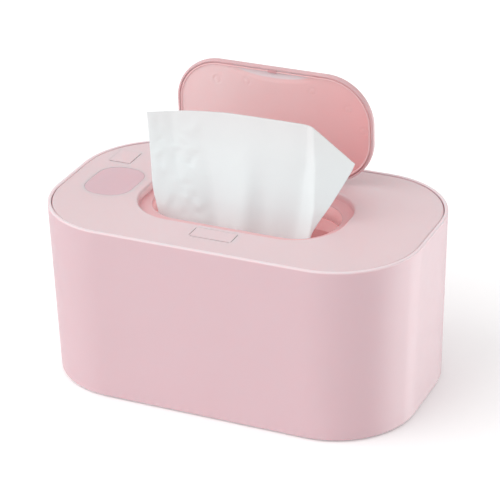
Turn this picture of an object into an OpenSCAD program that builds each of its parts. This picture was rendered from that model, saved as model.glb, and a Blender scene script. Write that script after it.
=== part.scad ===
// Baby wipe warmer: a round-cornered housing with a heated tub, a lift-off top
// cover, and a sprung flip lid on gooseneck arms, drawn with its lid standing open.
// The origin is on the floor below the housing's centre; the front faces -Y.

/* [Housing] */
// Length of the housing at its rim
body_len = 200; // [194:1:230]
// Depth of the housing at its rim
body_dep = 117.4; // [115:0.2:135]
// Height of the housing shell
body_h = 93.3; // [92:0.1:120]
// Corner radius of the housing at its rim
body_r = 44.4; // [40:0.2:50]
// How far each end leans in on its way down
lean_len = 2.6; // [0:0.1:4]
// How far the front and the back lean in on their way down
lean_dep = 0.6; // [0:0.1:2]
// How much the corner radius shrinks on its way down
lean_r = 1.9; // [0:0.1:3]
// Wall of the housing beside the top cover
rim_wall = 1.8; // [1.5:0.1:2.2]
// Wall of the housing below the shelf
case_wall = 3; // [2.8:0.1:3.4]
// Radius of the rounded rim and bottom edge
edge_round = 0.8; // [0.4:0.1:1.2]

/* [Base] */
// Height of the housing above the floor, given by the feet
foot_stand = 1; // [0.6:0.1:2]
// Radius of a foot
foot_r = 7; // [5:0.5:9]
// Distance of the feet from the middle, left and right
foot_x = 72; // [60:1:74]
// Distance of the feet from the middle, front and back
foot_y = 36; // [30:1:38]
// Depth of the shallow seat that holds a foot
foot_seat = 0.4; // [0.2:0.1:0.8]
// How far the base plate sits up inside the bottom edge
base_recess = 0.8; // [0.4:0.1:1.5]
// Thickness of the base plate
base_t = 2.4; // [2:0.1:3]
// Wall left beside the base plate
base_inset = 1.6; // [1.4:0.1:1.8]
// Distance of the base screws from the middle, left and right
post_x = 60; // [56:1:64]
// Distance of the base screws from the middle, front and back
post_y = 36; // [33:0.5:38]
// Radius of the posts and bosses that take a base screw
post_r = 3.5; // [3:0.1:4]
// Height of the bosses on the base plate
boss_h = 2.4; // [2:0.1:4]

/* [Tub] */
// Depth from the rim down to the tub's flange
flange_drop = 15.3; // [15:0.1:18]
// Thickness of the tub's flange
flange_t = 1.8; // [1.4:0.1:2.4]
// Distance from the housing's outside to the tub's outside
tub_inset = 7.2; // [7:0.1:9]
// Wall of the tub
tub_wall = 1.6; // [1.2:0.1:2]
// Height of the tub's floor, top face, above the floor
tub_floor_z = 24; // [22:0.5:28]
// Thickness of the tub's floor
tub_base_t = 2; // [1.6:0.1:2.4]
// Radius of the tub's rounded bottom edge
tub_round = 5; // [3:0.5:7]
// Thickness of the insulating wrap round the tub
wrap_t = 3.4; // [2:0.1:3.5]

/* [Heater] */
// Length of the heating film
film_len = 150; // [120:1:156]
// Depth of the heating film
film_dep = 56; // [40:1:58]
// Thickness of the heating film
film_t = 0.5; // [0.3:0.1:0.8]
// Thickness of the insulating pad below the film
pad_t = 3; // [2:0.5:4]

/* [Board] */
// Length of the main board
board_len = 72; // [66:1:84]
// Depth of the main board
board_dep = 41; // [38:1:44]
// Thickness of both circuit boards
board_t = 1.6; // [1:0.2:2]
// Height of the main board's underside above the floor
board_z = 8; // [7.4:0.1:9]
// Width of the power inlet
inlet_w = 8.9; // [8:0.1:10]
// Height of the power inlet
inlet_h = 3.2; // [2.6:0.1:3.6]
// Length of the power inlet
inlet_len = 9; // [7:0.5:10]

/* [Top cover] */
// Gap between the top cover and the rim
reveal = 0.4; // [0.3:0.05:0.6]
// How far the cover sits below the rim
deck_drop = 0.3; // [0:0.1:0.8]
// Thickness of the cover
deck_t = 2.2; // [1.8:0.1:2.6]
// Wall of the cover's skirt
skirt_t = 1.8; // [1.4:0.1:2.2]
// Thickness of the liner that closes the cover from below
liner_t = 1.8; // [1.4:0.1:2.2]
// Length of the seat that the lid closes into
seat_len = 110.6; // [108:0.2:112]
// Depth of the seat, front to back
seat_dep = 60.8; // [60:0.2:62]
// Corner radius of the seat
seat_r = 26; // [20:0.5:28]
// Where the middle of the seat lies, front to back
seat_y = -1; // [-1.6:0.1:-0.6]
// How deep the seat is
seat_drop = 4.1; // [3.9:0.1:4.4]
// Thickness of the ledge round the mouth
ledge_t = 2; // [1.6:0.1:2.4]
// Radius of the rounded edge of the seat
seat_round = 1.2; // [0.8:0.1:1.4]
// Length of the mouth
mouth_len = 100; // [92:1:101]
// Depth of the mouth, front to back
mouth_dep = 44; // [42.5:0.5:45]
// Wall of the seat and of the mouth's throat
well_wall = 1.8; // [1.4:0.1:2]
// Height of the collar that hangs below the liner round the mouth
collar_h = 5; // [2:0.5:6]

/* [Lid] */
// Gap between the lid and its seat
lid_gap = 0.9; // [0.7:0.1:1.1]
// Thickness of the lid
lid_t = 3.6; // [3.4:0.1:3.8]
// Thickness of the lid's top
lid_top = 1.4; // [1.2:0.1:1.6]
// Wall of the lid's rim
lid_rim = 1.8; // [1.6:0.1:2]
// Radius of the lid's rounded outer edge
lid_round = 1.3; // [0.8:0.1:1.4]
// Chamfer round the lid's lower edge, which clears the seat as the lid swings
lid_chamfer = 1; // [0.9:0.1:1.2]
// Groove between the lid's rim and its liner
lid_groove = 0.5; // [0.3:0.1:0.8]
// Thickness of the lid's liner
lid_liner_t = 1.6; // [1.4:0.1:1.7]
// Width of the sealing lip
seal_w = 1.6; // [1.2:0.1:2]
// Height of the sealing lip above the liner
seal_h = 0.9; // [0.6:0.1:1]
// Distance of the sealing lip from the liner's edge
seal_inset = 0.1; // [0:0.1:0.6]
// Half the width of the shallow band along the liner's free edge
band_half = 27; // [20:0.5:30]
// How far the band reaches in at its middle
band_deep = 5.2; // [4:0.1:7]
// Width of the finger slit in the band
slit_w = 6.8; // [5:0.2:9]

/* [Hinge] */
// How far the lid opens
lid_angle = 88; // [80:1:95]
// Height of the hinge pin below the rim
pin_drop = 6.2; // [6:0.1:6.4]
// Distance of the hinge pin behind the lid's rear edge
pin_back = 6.6; // [6.4:0.1:6.8]
// Radius of the hinge pin
pin_r = 1.25; // [1:0.05:1.4]
// Running clearance of the arms on the pin
pin_fit = 0.05; // [0.03:0.01:0.08]
// Distance of each gooseneck arm from the middle
arm_x = 25; // [24.5:0.1:25.5]
// Width of a gooseneck arm
arm_w = 5; // [4:0.2:5]
// Thickness of a gooseneck arm
arm_t = 2.8; // [2.2:0.1:2.8]
// Inner radius of a gooseneck arm
arm_r = 9.2; // [9:0.1:9.3]
// Radius of the hub on the pin
hub_r = 3; // [2.6:0.1:3.2]

/* [Latch] */
// Length of the latch button
button_len = 22; // [18:0.5:24]
// Depth of the latch button
button_dep = 9.5; // [9:0.1:10]
// Distance of the latch button's middle before the seat's front edge
button_before = 7.9; // [7.6:0.1:8.2]
// Thickness of the latch button
button_t = 2; // [1.6:0.1:2.2]
// Gap round the latch button and the key
button_gap = 0.3; // [0.2:0.05:0.4]
// Travel of the latch button
button_travel = 1.2; // [1:0.1:1.2]
// Width of the catch and of the slider's nose
catch_w = 5; // [4:0.2:6]

/* [Key and window] */
// Length of the key, left to right
key_len = 12.5; // [10:0.5:14]
// Depth of the key, front to back
key_dep = 14.5; // [12:0.5:16]
// Distance of the key's middle from the housing's left end
key_in = 17.4; // [17:0.1:18]
// Middle of the key, front to back
key_y = 28.2; // [27:0.1:29]
// Travel of the key
key_travel = 0.5; // [0.3:0.1:0.6]
// Length of the window, left to right
window_len = 26; // [22:0.5:27]
// Depth of the window, front to back
window_dep = 34; // [28:0.5:35]
// Corner radius of the window
window_r = 11; // [8:0.5:12]
// Where the window's middle lies on the way from the skirt to the seat, as a share of it
window_share = 0.557; // [0.5:0.01:0.6]
// Middle of the window, front to back
window_y = -1; // [-2:0.5:0]
// Thickness of the window
window_t = 1.2; // [0.8:0.1:1.4]
// Width of the lip that the window rests on
window_lip = 5; // [4:0.2:6]

/* [Wipes] */
// Length of the folded stack
stack_len = 140; // [120:1:142]
// Depth of the folded stack
stack_dep = 84; // [70:1:86]
// Height of the stack
stack_h = 32; // [20:1:38]
// Number of folded layers that show on the stack's sides
stack_layers = 8; // [4:1:12]
// Thickness of the standing wipe
sheet_t = 0.6; // [0.5:0.1:0.8]
// Width of the standing wipe where it leaves the stack
sheet_low = 79; // [70:1:82]
// Width of the wipe's straight top edge
sheet_top = 90; // [80:1:95]
// How far the wipe's right corner stands out beyond the top edge
sheet_flare = 22; // [10:1:25]
// Height of the wipe above the rim
sheet_rise = 52; // [40:1:60]
// Depth of the wipe's main folds
sheet_fold = 4; // [2:0.5:5]

/* [Hidden] */

$fn = 48;
// Steps in each quarter of a lofted corner, and in a rounded edge
corner_steps = 14;
edge_steps = 3;
// Overlap of a cut past the face it opens, and of a piece into what carries it
eps = 0.5;
// Gap left round a piece that drops into a pocket, and beside a soft piece
fit = 0.3;
// Gap beside a piece that slides in its guide, round a shank in its thread, and in a clearance hole
slide = 0.2;
snug = 0.02;
slack = 0.1;

pink = [0.93, 0.78, 0.80];
soft_pink = [0.90, 0.68, 0.70];
rose = [0.88, 0.72, 0.75];
black = [0.15, 0.15, 0.17];
green = [0.12, 0.42, 0.25];
wire_grey = [0.6, 0.6, 0.62];

// Heights of the stacked pieces
rim_z = foot_stand + body_h;
deck_z = rim_z - deck_drop;
deck_low = deck_z - deck_t;
flange_z = rim_z - flange_drop;
shelf_z = flange_z - flange_t;
liner_low = flange_z + slide;
liner_z = liner_low + liner_t;
ledge_z = deck_z - seat_drop;
ledge_low = ledge_z - ledge_t;
base_z = foot_stand + base_recess;
base_top = base_z + base_t;
boss_z = base_top + boss_h;
tub_low = tub_floor_z - tub_base_t;
film_z = tub_low - film_t;
pad_z = film_z - pad_t;
board_top = board_z + board_t;
stack_z = tub_floor_z + stack_h;
collar_z = liner_low - collar_h;

// The lid, drawn shut and then swung open about its pin
lid_len = seat_len - 2 * lid_gap;
lid_dep = seat_dep - 2 * lid_gap;
lid_r = seat_r - lid_gap;
lid_rear = seat_y + lid_dep / 2;
lid_front = seat_y - lid_dep / 2;
lid_low = deck_z - lid_t;
lid_in = deck_z - lid_top;
lid_liner_z = lid_in - lid_liner_t;
liner_gap = lid_rim + lid_groove;

// The key and the window, left of the seat
key_x = key_in - body_len / 2;
window_left = rim_wall + reveal + skirt_t - body_len / 2;
window_right = -seat_len / 2 - seat_round;
window_x = window_left + window_share * (window_right - window_left);

pin_y = lid_rear + pin_back;
pin_z = rim_z - pin_drop;
seat_front = seat_y - seat_dep / 2;
button_y = seat_front - button_before;
// The lid keeps clear of this radius round the pin, where the seat's rear edge passes
relief_past = 2.4;
relief_r = pin_back + relief_past;
arm_out = arm_r + arm_t;
mouth_flat = 1;
mouth_r = mouth_dep / 2 - mouth_flat;

// Depth of the rabbet that seats the sealing lip, and of the band and the slit in the liner
seal_seat = 0.4;
seal_clear = 1.5;
band_sink = 0.35;
slit_sink = 0.75;
slit_dep = 0.9;
// The band's free side is an arc through its two ends and its deepest point
band_r = (band_half * band_half + band_deep * band_deep) / (2 * band_deep);
band_y = lid_front + liner_gap + seal_inset + seal_w + band_deep;
slit_out = 1;
slit_y = band_y - band_deep / 2 - slit_out;

// The bracket that joins both arms to the lid's top, and its four screws
bracket_half = arm_x + arm_w / 2 + 1;
bracket_dep = 7.4;
bracket_y = lid_rear - lid_rim - 2 * fit - bracket_dep / 2;
bracket_screw_x = [-20, -8, 8, 20];
bracket_screw_r = 0.85;
bracket_head_r = 2 * bracket_screw_r;
bracket_head_t = 0.5;

// Places along the hinge pin: two ears on each side of an arm
ear_t = 2.4;
ear_in = 14.6;
ear_out = 30;
pin_half = ear_out + ear_t;
spring_wire = 0.4;
spring_r = 2.2;
spring_turns = 3;
spring_run = 3.6;
// Turn at which a gooseneck starts and how far it bends, and the web that joins it to its hub
neck_start = 146;
neck_bend = 128;
web_lean = 4;
web_t = 2.8;

// The latch: a button with two wedge legs, a slider with a nose, and the lid's catch
slider_w = 15;
slider_t = 2;
slider_drop = 1.5;
slider_lead = 3.2;
slider_z = ledge_z - slider_drop;
slider_top = slider_z + slider_t;
slider_front = button_y - slider_lead;
slider_back = seat_front - well_wall - fit;
nose_t = 1;
nose_room = 3;
nose_tail = 2.5;
catch_over = 0.9;
catch_pocket = 4.6;
pocket_side = 1;
catch_y = seat_front + catch_pocket / 2;
nose_tip = lid_front + catch_over;
catch_stem = 1.2;
catch_stem_y = lid_front + liner_gap + catch_stem / 2;
catch_low = slider_z + slack;
catch_slack = 0.15;
tray_t = 1;
tray_z = slider_z - 2 * slide - tray_t;
wedge_x = 5.2;
wedge_w = 2.4;
wedge_t = 1;
wedge_in = 2.7;
wedge_back = button_y + wedge_in;
wedge_tip = slider_z + 2 * slide;
// Way of a wedge leg in the slider's bed, and how far its middle lies before the leg's back
leg_way = 6.4;
leg_way_in = 2.2;
// The button's plate, the lips that keep it below the deck, and the key's lip
button_z = deck_z - button_t;
lip_w = 2.2;
lip_t = 1;
key_lip = 0.6;
// The slider's bed with its cheeks and the spring's stop
cheek_t = 1.4;
cheek_drop = 0.6;
stop_t = 1.6;
stop_w = 8;
latch_wire = 0.25;
latch_coil_r = 1.1;
latch_turns = 5;
latch_room = 5;
bed_front = slider_front - latch_room - stop_t;

// Screws
screw_r = 1.3;
screw_head_r = 2.6;
screw_head_t = 1.8;
cover_thread = 6;
base_thread = 6;
// How much deeper a thread's hole is than the screw in it
thread_room = 3;
cover_screw_x = 62;
cover_screw_end = 12;
cover_screw_spots = [[cover_screw_x, -40], [-cover_screw_x, -40], [cover_screw_x, 42], [-cover_screw_x, 42],
    [body_len / 2 - cover_screw_end, 0]];
cover_post_r = 3.2;

// Base plate: walls of the bosses, and stiffening ribs over the part that the board leaves free
boss_wall = 1;
board_boss_r = 2.5;
rib_t = 1.2;
rib_h = 2;
rib_half = 50;
rib_front = -30;
rib_rear = 6;
rib_rows = 3;
rib_cols = 4;

// Tub: bite of a post into its floor, and bounds of the insulating wrap
post_bite = 1;
wrap_up = 6;
wrap_down = 2;
wrap_low = tub_low + wrap_up;
wrap_high = shelf_z - wrap_down;
soft_r = 10;

// Sensor and thermal cutout below the heating film
sensor_len = 6;
sensor_dep = 4;
sensor_t = 2;
cutout_x = 30;
cutout_len = 12;
cutout_r = 1.6;
sensor_room = 2;

// The main board: its middle, its holes and what stands on it, as [x, y, length, depth, height]
board_x = 6;
board_y = 33;
board_hole = 4;
chips = [[-12, -4, 9, 9, 1.2], [10, -6, 6, 5, 1.6], [22, 4, 10, 10, 5]];
capacitor = [-26, 8, 3.2, 6.5];
capacitor_step = 12;
plug = [-14, -16, 9, 5, 5];
plug_step = 13;

// The power inlet's shell and tongue
inlet_back = body_dep / 2 - lean_dep * (rim_z - board_top) / body_h - fit;
inlet_z = board_top + inlet_h / 2;
inlet_wall = 0.35;
inlet_floor = 1.2;
tongue_t = 0.7;
tongue_side = 1.2;
tongue_short = 0.8;

// Contacts between the cover and the housing, in a row at the left end of the flange
contact_w = 3;
contact_dep = 15;
contact_x = -body_len / 2 + tub_inset + 0.4;
contact_seat = 0.8;
contact_plate = 0.2;
contact_len = 2;
contact_wide = 2.4;
contact_pitch = 3.6;
contact_r = 0.7;

// The display board below the window and the key, with its posts, its lamp block and its switch
display_drop = 7;
display_z = deck_low - display_drop;
display_top = display_z + board_t;
display_y = window_y - 1;
led_y = window_y - 2;
arm_board_x = key_x + 2;
display_in = [3.1, 5.2];
display_spots = [for (s = [[1, 1], [1, -1], [-1, -1]])
    [window_x + s.x * (window_len / 2 - display_in.x), window_y + s.y * (window_dep / 2 - display_in.y)]];
display_post_r = 1.6;
display_len = 23;
display_dep = 32;
arm_board_len = 13;
arm_board_past = 8;
led_len = 14;
led_dep = 18;
led_h = 3;
switch_h = 3;
switch_half = 2.8;
plunger_r = 1.6;
plunger_in = 0.6;
window_sink = 0.3;

// The arms' notches in the mouth's rear edge, and the trough in the liner that the arms dip into
notch_side = 0.6;
notch_in = 2;
notch_front = mouth_dep / 2 - notch_in;
trough_wall = 1.4;
trough_side = 0.4;
trough_step = 2.4;
trough_past = 5;
trough_under = 0.7;
trough_half = pin_half + trough_side;
trough_front = mouth_dep / 2 + trough_step;
trough_back = pin_y + trough_past;
trough_low = pin_z - arm_out - trough_under;

// The standing wipe's grid, and the bounds of its outline
sheet_cols = 34;
sheet_rows = 14;
sheet_x0 = -46;
sheet_y0 = -8;
sheet_z0 = stack_z + fit;
sheet_shift = -2.6;
sheet_corner = 0.82;
sheet_left_drop = 6.5;
sheet_tip_drop = 16.5;
sheet_bow = 1.15;
sheet_back = 3;
// Edge step of every second layer of the folded stack, and the stack's corners
stack_step = 0.5;
stack_r = 4;

// The ring [height, length, depth, radius] of the housing's outside at height z, drawn in by inset
function at(z, inset) = let (low = (rim_z - z) / body_h)
    [z, body_len - 2 * (lean_len * low + inset), body_dep - 2 * (lean_dep * low + inset),
     body_r - lean_r * low - inset];

// Points of a rounded rectangle, counterclockwise from the right
function ring_points(w, d, r, cx = 0, cy = 0) = [
    for (q = [0:3], k = [0:corner_steps])
        let (a = 90 * (q + k / corner_steps),
             sx = (q == 0 || q == 3) ? 1 : -1,
             sy = q < 2 ? 1 : -1)
        [cx + sx * (w / 2 - r) + r * cos(a), cy + sy * (d / 2 - r) + r * sin(a)]];

// A solid skinned over rings [height, length, depth, radius], listed from the bottom up
module loft(rings, cx = 0, cy = 0) {
    n = 4 * (corner_steps + 1);
    m = len(rings);
    points = [for (g = rings, p = ring_points(g[1], g[2], g[3], cx, cy)) [p.x, p.y, g[0]]];
    sides = [for (j = [0:m - 2], i = [0:n - 1]) let (k = (i + 1) % n)
        each [[j * n + i, (j + 1) * n + i, j * n + k],
              [j * n + k, (j + 1) * n + i, (j + 1) * n + k]]];
    polyhedron(points, concat([[for (i = [0:n - 1]) i]],
        [[for (i = [n - 1:-1:0]) (m - 1) * n + i]], sides));
}

// Rings of the housing's outside that round its bottom edge or its rim, drawn in by inset
function round_low(z, r, inset = 0) = [for (k = [0:edge_steps]) let (a = 90 * k / edge_steps)
    at(z + r * (1 - cos(a)), inset + r * (1 - sin(a)))];
function round_rim(z, r, inset = 0) = [for (k = [0:edge_steps]) let (a = 90 * k / edge_steps)
    at(z - r * (1 - sin(a)), inset + r * (1 - cos(a)))];

// Rings that round a plate's outer edge of radius r, from its side up to the height z
function round_up(z, w, d, cr, r) = [for (k = [0:edge_steps]) let (a = 90 * k / edge_steps,
    in = r * (1 - cos(a))) [z - r + r * sin(a), w - 2 * in, d - 2 * in, cr - in]];

module round_rect(w, d, r) {
    square([w - 2 * r, d], center = true);
    square([w, d - 2 * r], center = true);
    for (sx = [-1, 1], sy = [-1, 1]) translate([sx * (w / 2 - r), sy * (d / 2 - r)]) circle(r);
}

// A rounded plate between two heights
module plate(w, d, r, z0, z1) {
    translate([0, 0, z0]) linear_extrude(z1 - z0) round_rect(w, d, r);
}

// A box given by its middle in X and Y, its size and its two heights
module block(x, y, w, d, z0, z1) {
    translate([x - w / 2, y - d / 2, z0]) cube([w, d, z1 - z0]);
}

module rod(x, y, r, z0, z1) {
    translate([x, y, z0]) cylinder(r = r, h = z1 - z0);
}

// A rod along X, centred on x
module cross_rod(x, y, z, r, len) {
    translate([x - len / 2, y, z]) rotate([0, 90, 0]) cylinder(r = r, h = len);
}

// An outline in the YZ plane, given its width along X and the middle of it
module side_cut(x, w) {
    translate([x - w / 2, 0, 0]) rotate([90, 0, 90]) linear_extrude(w) children();
}

// A screw that stands head down with its head's underside edge at height z
module screw(x, y, z, len) {
    rod(x, y, screw_head_r, z, z + screw_head_t);
    rod(x, y, screw_r, z + screw_head_t, z + screw_head_t + len);
}

// A coil of round wire along +Z, one unbroken tube with flat ends
module coil(r, wire, len, turns) {
    sides = 6;
    turn_steps = 12;
    steps = turns * turn_steps;
    points = [for (i = [0:steps], k = [0:sides - 1])
        let (t = 360 * i / turn_steps, a = 360 * k / sides, rr = r + wire * cos(a))
        [rr * cos(t), rr * sin(t), len * i / steps + wire * sin(a)]];
    walls = [for (i = [0:steps - 1], k = [0:sides - 1]) let (m = (k + 1) % sides)
        each [[i * sides + k, (i + 1) * sides + k, i * sides + m],
              [i * sides + m, (i + 1) * sides + k, (i + 1) * sides + m]]];
    polyhedron(points, concat([[for (k = [0:sides - 1]) k]],
        [[for (k = [sides - 1:-1:0]) steps * sides + k]], walls));
}

// Turns what is drawn with the lid shut to the lid's open stand
module swung_open() {
    translate([0, pin_y, pin_z]) rotate([-lid_angle, 0, 0]) translate([0, -pin_y, -pin_z]) children();
}

// What is set once in each quarter of the housing, at x and y from its middle
module four_corners(x, y) {
    for (sx = [-1, 1], sy = [-1, 1]) translate([sx * x, sy * y, 0]) children();
}

module board_spots() {
    translate([board_x, board_y, 0])
        four_corners(board_len / 2 - board_hole, board_dep / 2 - board_hole) children();
}

module cover_posts() {
    for (p = cover_screw_spots) translate([p.x, p.y, 0]) children();
}

// Pieces of the housing

module outer_casing() color(pink) difference() {
    loft(concat(round_low(foot_stand, edge_round), round_rim(rim_z, edge_round)));
    // Pocket that takes the top cover, down to the shelf
    loft([at(shelf_z, rim_wall), at(rim_z + eps, rim_wall)]);
    // Room for the tub
    loft([at(base_top - eps, case_wall), at(shelf_z + eps, case_wall)]);
    // Rabbet for the base plate
    loft([at(foot_stand - eps, base_inset), at(base_top, base_inset)]);
    // Hole for the power inlet
    inlet_prism(fit, board_y, body_dep);
}

// The power inlet's outline, grown by gap and run backwards from y
module inlet_prism(gap, y, run) {
    h = inlet_h + 2 * gap;
    translate([board_x, y, inlet_z]) rotate([-90, 0, 0])
        linear_extrude(run) round_rect(inlet_w + 2 * gap, h, h / 2 - snug);
}

module base_plate() color([0.90, 0.76, 0.78]) difference() {
    rib_dep = rib_rear - rib_front;
    union() {
        loft([at(base_z, base_inset + fit), at(base_top, base_inset + fit)]);
        four_corners(post_x, post_y) rod(0, 0, post_r + boss_wall, base_top - eps, boss_z);
        board_spots() rod(0, 0, board_boss_r, base_top - eps, board_z);
        // Ribs that keep the plate flat
        for (k = [0:rib_rows]) block(0, rib_front + k * rib_dep / rib_rows, 2 * rib_half, rib_t,
            base_top - eps, base_top + rib_h);
        for (k = [0:rib_cols]) block(rib_half * (2 * k / rib_cols - 1), rib_front + rib_dep / 2,
            rib_t, rib_dep, base_top - eps, base_top + rib_h);
    }
    four_corners(post_x, post_y) {
        rod(0, 0, screw_head_r + fit, base_z - eps, base_z + screw_head_t + fit);
        rod(0, 0, screw_r + slack, base_z - eps, boss_z + eps);
    }
    board_spots() rod(0, 0, screw_r, base_top, board_z + eps);
    four_corners(foot_x, foot_y) rod(0, 0, foot_r + slack, base_z - eps, base_z + foot_seat);
}

module base_screws() color("silver")
    four_corners(post_x, post_y) screw(0, 0, base_z + fit, boss_z - base_z + base_thread);

module rubber_feet() color([0.55, 0.55, 0.55])
    four_corners(foot_x, foot_y) rod(0, 0, foot_r, 0, base_z + foot_seat);

module inner_tub() color(soft_pink) difference() {
    union() {
        loft(concat(round_low(tub_low, tub_round, tub_inset), [at(flange_z, tub_inset)]));
        // Flange that rests on the housing's shelf
        loft([at(shelf_z, rim_wall + fit), at(flange_z, rim_wall + fit)]);
        four_corners(post_x, post_y) rod(0, 0, post_r, boss_z, tub_low + post_bite);
    }
    loft(concat(round_low(tub_floor_z, tub_round - tub_wall, tub_inset + tub_wall),
        [at(flange_z + eps, tub_inset + tub_wall)]));
    four_corners(post_x, post_y)
        rod(0, 0, screw_r + snug, boss_z - eps, boss_z + base_thread + thread_room);
    // Seat of the contact pads in the flange's left end
    contact_block(0, flange_z - contact_seat, flange_z + eps);
}

// The contacts' block on the flange's left end, grown by gap
module contact_block(gap, z0, z1) {
    block(contact_x - gap, 0, contact_w + 2 * gap, contact_dep + 2 * gap, z0, z1);
}

module heating_film() color([0.80, 0.50, 0.20])
    plate(film_len, film_dep, soft_r, film_z, tub_low);

module insulation_pad() color([0.85, 0.85, 0.82]) difference() {
    plate(film_len, film_dep, soft_r, pad_z, film_z);
    block(0, 0, sensor_len + 2 * sensor_room, sensor_dep + 2 * sensor_room, pad_z - eps, film_z + eps);
    block(cutout_x, 0, cutout_len + 2 * sensor_room, 2 * (cutout_r + sensor_room),
        pad_z - eps, film_z + eps);
}

module insulation_wrap() color([0.88, 0.88, 0.85]) difference() {
    out = case_wall + fit;
    loft([at(wrap_low, out), at(wrap_high, out)]);
    loft([at(wrap_low - eps, out + wrap_t), at(wrap_high + eps, out + wrap_t)]);
}

module temperature_sensor() color(black)
    block(0, 0, sensor_len, sensor_dep, film_z - sensor_t, film_z);

module thermal_cutout() color([0.75, 0.75, 0.72])
    cross_rod(cutout_x, 0, film_z - cutout_r, cutout_r, cutout_len);

module main_board() color(green) difference() {
    block(board_x, board_y, board_len, board_dep, board_z, board_top);
    board_spots() rod(0, 0, screw_r + slack, board_z - eps, board_top + eps);
}

module board_parts() translate([board_x, board_y, board_top]) {
    color(black) for (c = chips) block(c[0], c[1], c[2], c[3], 0, c[4]);
    color("silver") for (k = [0:1])
        rod(capacitor[0] + capacitor_step * k, capacitor[1], capacitor[2], 0, capacitor[3]);
    color("white") for (k = [0:2])
        block(plug[0] + plug_step * k, plug[1], plug[2], plug[3], 0, plug[4]);
}

module board_screws() color("silver")
    board_spots() {
        rod(0, 0, screw_head_r - 2 * slide, board_top, board_top + screw_head_t);
        rod(0, 0, screw_r - snug, base_top + 2 * fit, board_top);
    }

module power_inlet() color("silver") {
    difference() {
        inlet_prism(0, inlet_back - inlet_len, inlet_len);
        inlet_prism(-inlet_wall, inlet_back - inlet_len + inlet_floor, inlet_len);
    }
    // Tongue with the contacts
    tongue_len = inlet_len - tongue_short;
    block(board_x, inlet_back - inlet_len + tongue_len / 2, inlet_w - 2 * tongue_side, tongue_len,
        inlet_z - tongue_t / 2, inlet_z + tongue_t / 2);
}

module contact_pads() {
    plate_z = flange_z - contact_plate;
    color(black) contact_block(-slack, flange_z - contact_seat, plate_z);
    color("gold") for (k = [-1.5:1.5])
        block(contact_x, contact_pitch * k, contact_len, contact_wide, plate_z, flange_z);
}

// The folded stack, its layers shown by shallow steps along the sides
module wipe_stack() color([0.95, 0.95, 0.96]) {
    layer = stack_h / stack_layers;
    for (k = [0:stack_layers - 1]) {
        in = 2 * stack_step * (k % 2);
        plate(stack_len - in, stack_dep - in, stack_r, tub_floor_z + k * layer, tub_floor_z + (k + 1) * layer);
    }
}

// Pieces of the top cover

module top_cover() color(pink) {
    edge = rim_wall + reveal;
    difference() {
        union() {
            difference() {
                loft(concat([at(flange_z, edge)], round_rim(deck_z, edge_round, edge)));
                loft([at(flange_z - eps, edge + skirt_t), at(deck_low, edge + skirt_t)]);
            }
            // Well of the lid's seat
            translate([0, seat_y, 0]) plate(seat_len + 2 * well_wall, seat_dep + 2 * well_wall,
                seat_r + well_wall, ledge_low, deck_low + eps);
            // Throat below the mouth, down to the liner
            throat(liner_z, ledge_low + eps, well_wall);
            cover_posts() rod(0, 0, cover_post_r, liner_z, deck_low + eps);
            hinge_ears();
            // Posts that carry the display board
            for (p = display_spots) rod(p.x, p.y, display_post_r, display_top, deck_low + eps);
        }
        seat_hollow();
        throat(liner_z - eps, deck_z);
        cover_posts() rod(0, 0, screw_r + snug, liner_z - eps, liner_z + cover_thread + eps);
        // Window seat with a smaller opening for the light
        translate([window_x, window_y, 0]) {
            plate(window_len, window_dep, window_r, deck_z - window_t - window_sink, deck_z + eps);
            plate(window_len - 2 * window_lip, window_dep - 2 * window_lip, window_r - window_lip,
                deck_low - eps, deck_z);
        }
        block(key_x, key_y, key_len, key_dep, deck_low - eps, deck_z + eps);
        block(0, button_y, button_len + 2 * button_gap, button_dep + 2 * button_gap,
            deck_low - eps, deck_z + eps);
        // Notches that let the gooseneck arms through
        for (s = [-1, 1]) block(s * arm_x, (notch_front + pin_y) / 2, arm_w + 2 * notch_side,
            pin_y - notch_front, liner_z - eps, ledge_z + slide);
        // Way of the slider's nose, and of the catch that it holds
        block(0, (slider_back + nose_tip + nose_room) / 2 - nose_tail, catch_w + pocket_side,
            nose_tip - slider_back + nose_room, slider_z - slide, slider_top + slide);
        block(0, catch_y, catch_w + 2 * pocket_side, catch_pocket, tray_z + tray_t, ledge_z + eps);
        cross_rod(0, pin_y, pin_z, pin_r + snug, 2 * pin_half + 2);
    }
    // Floor of the catch's pocket, below the nose
    block(0, catch_y, catch_w + 2 * pocket_side, catch_pocket + 1, tray_z, tray_z + tray_t);
}

// The mouth's outline, grown by a wall and run between two heights
module throat(z0, z1, wall = 0) {
    plate(mouth_len + 2 * wall, mouth_dep + 2 * wall, mouth_r + wall, z0, z1);
}

// The hollow of the lid's seat, opening out over a rounded edge
module seat_hollow() {
    loft(concat([[ledge_z, seat_len, seat_dep, seat_r]],
        [for (k = [0:edge_steps]) let (a = 90 * k / edge_steps, out = seat_round * (1 - cos(a)))
            [deck_z - seat_round * (1 - sin(a)), seat_len + 2 * out, seat_dep + 2 * out, seat_r + out]],
        [[deck_z + eps, seat_len + 2 * seat_round, seat_dep + 2 * seat_round, seat_r + seat_round]]),
        0, seat_y);
}

module hinge_ears() {
    for (s = [-1, 1], x = [ear_in, ear_out]) {
        mid = s * (x + ear_t / 2);
        block(mid, pin_y + eps, ear_t, 2 * (hub_r + eps), pin_z, deck_low + eps);
        cross_rod(mid, pin_y, pin_z, hub_r, ear_t);
    }
}

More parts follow.
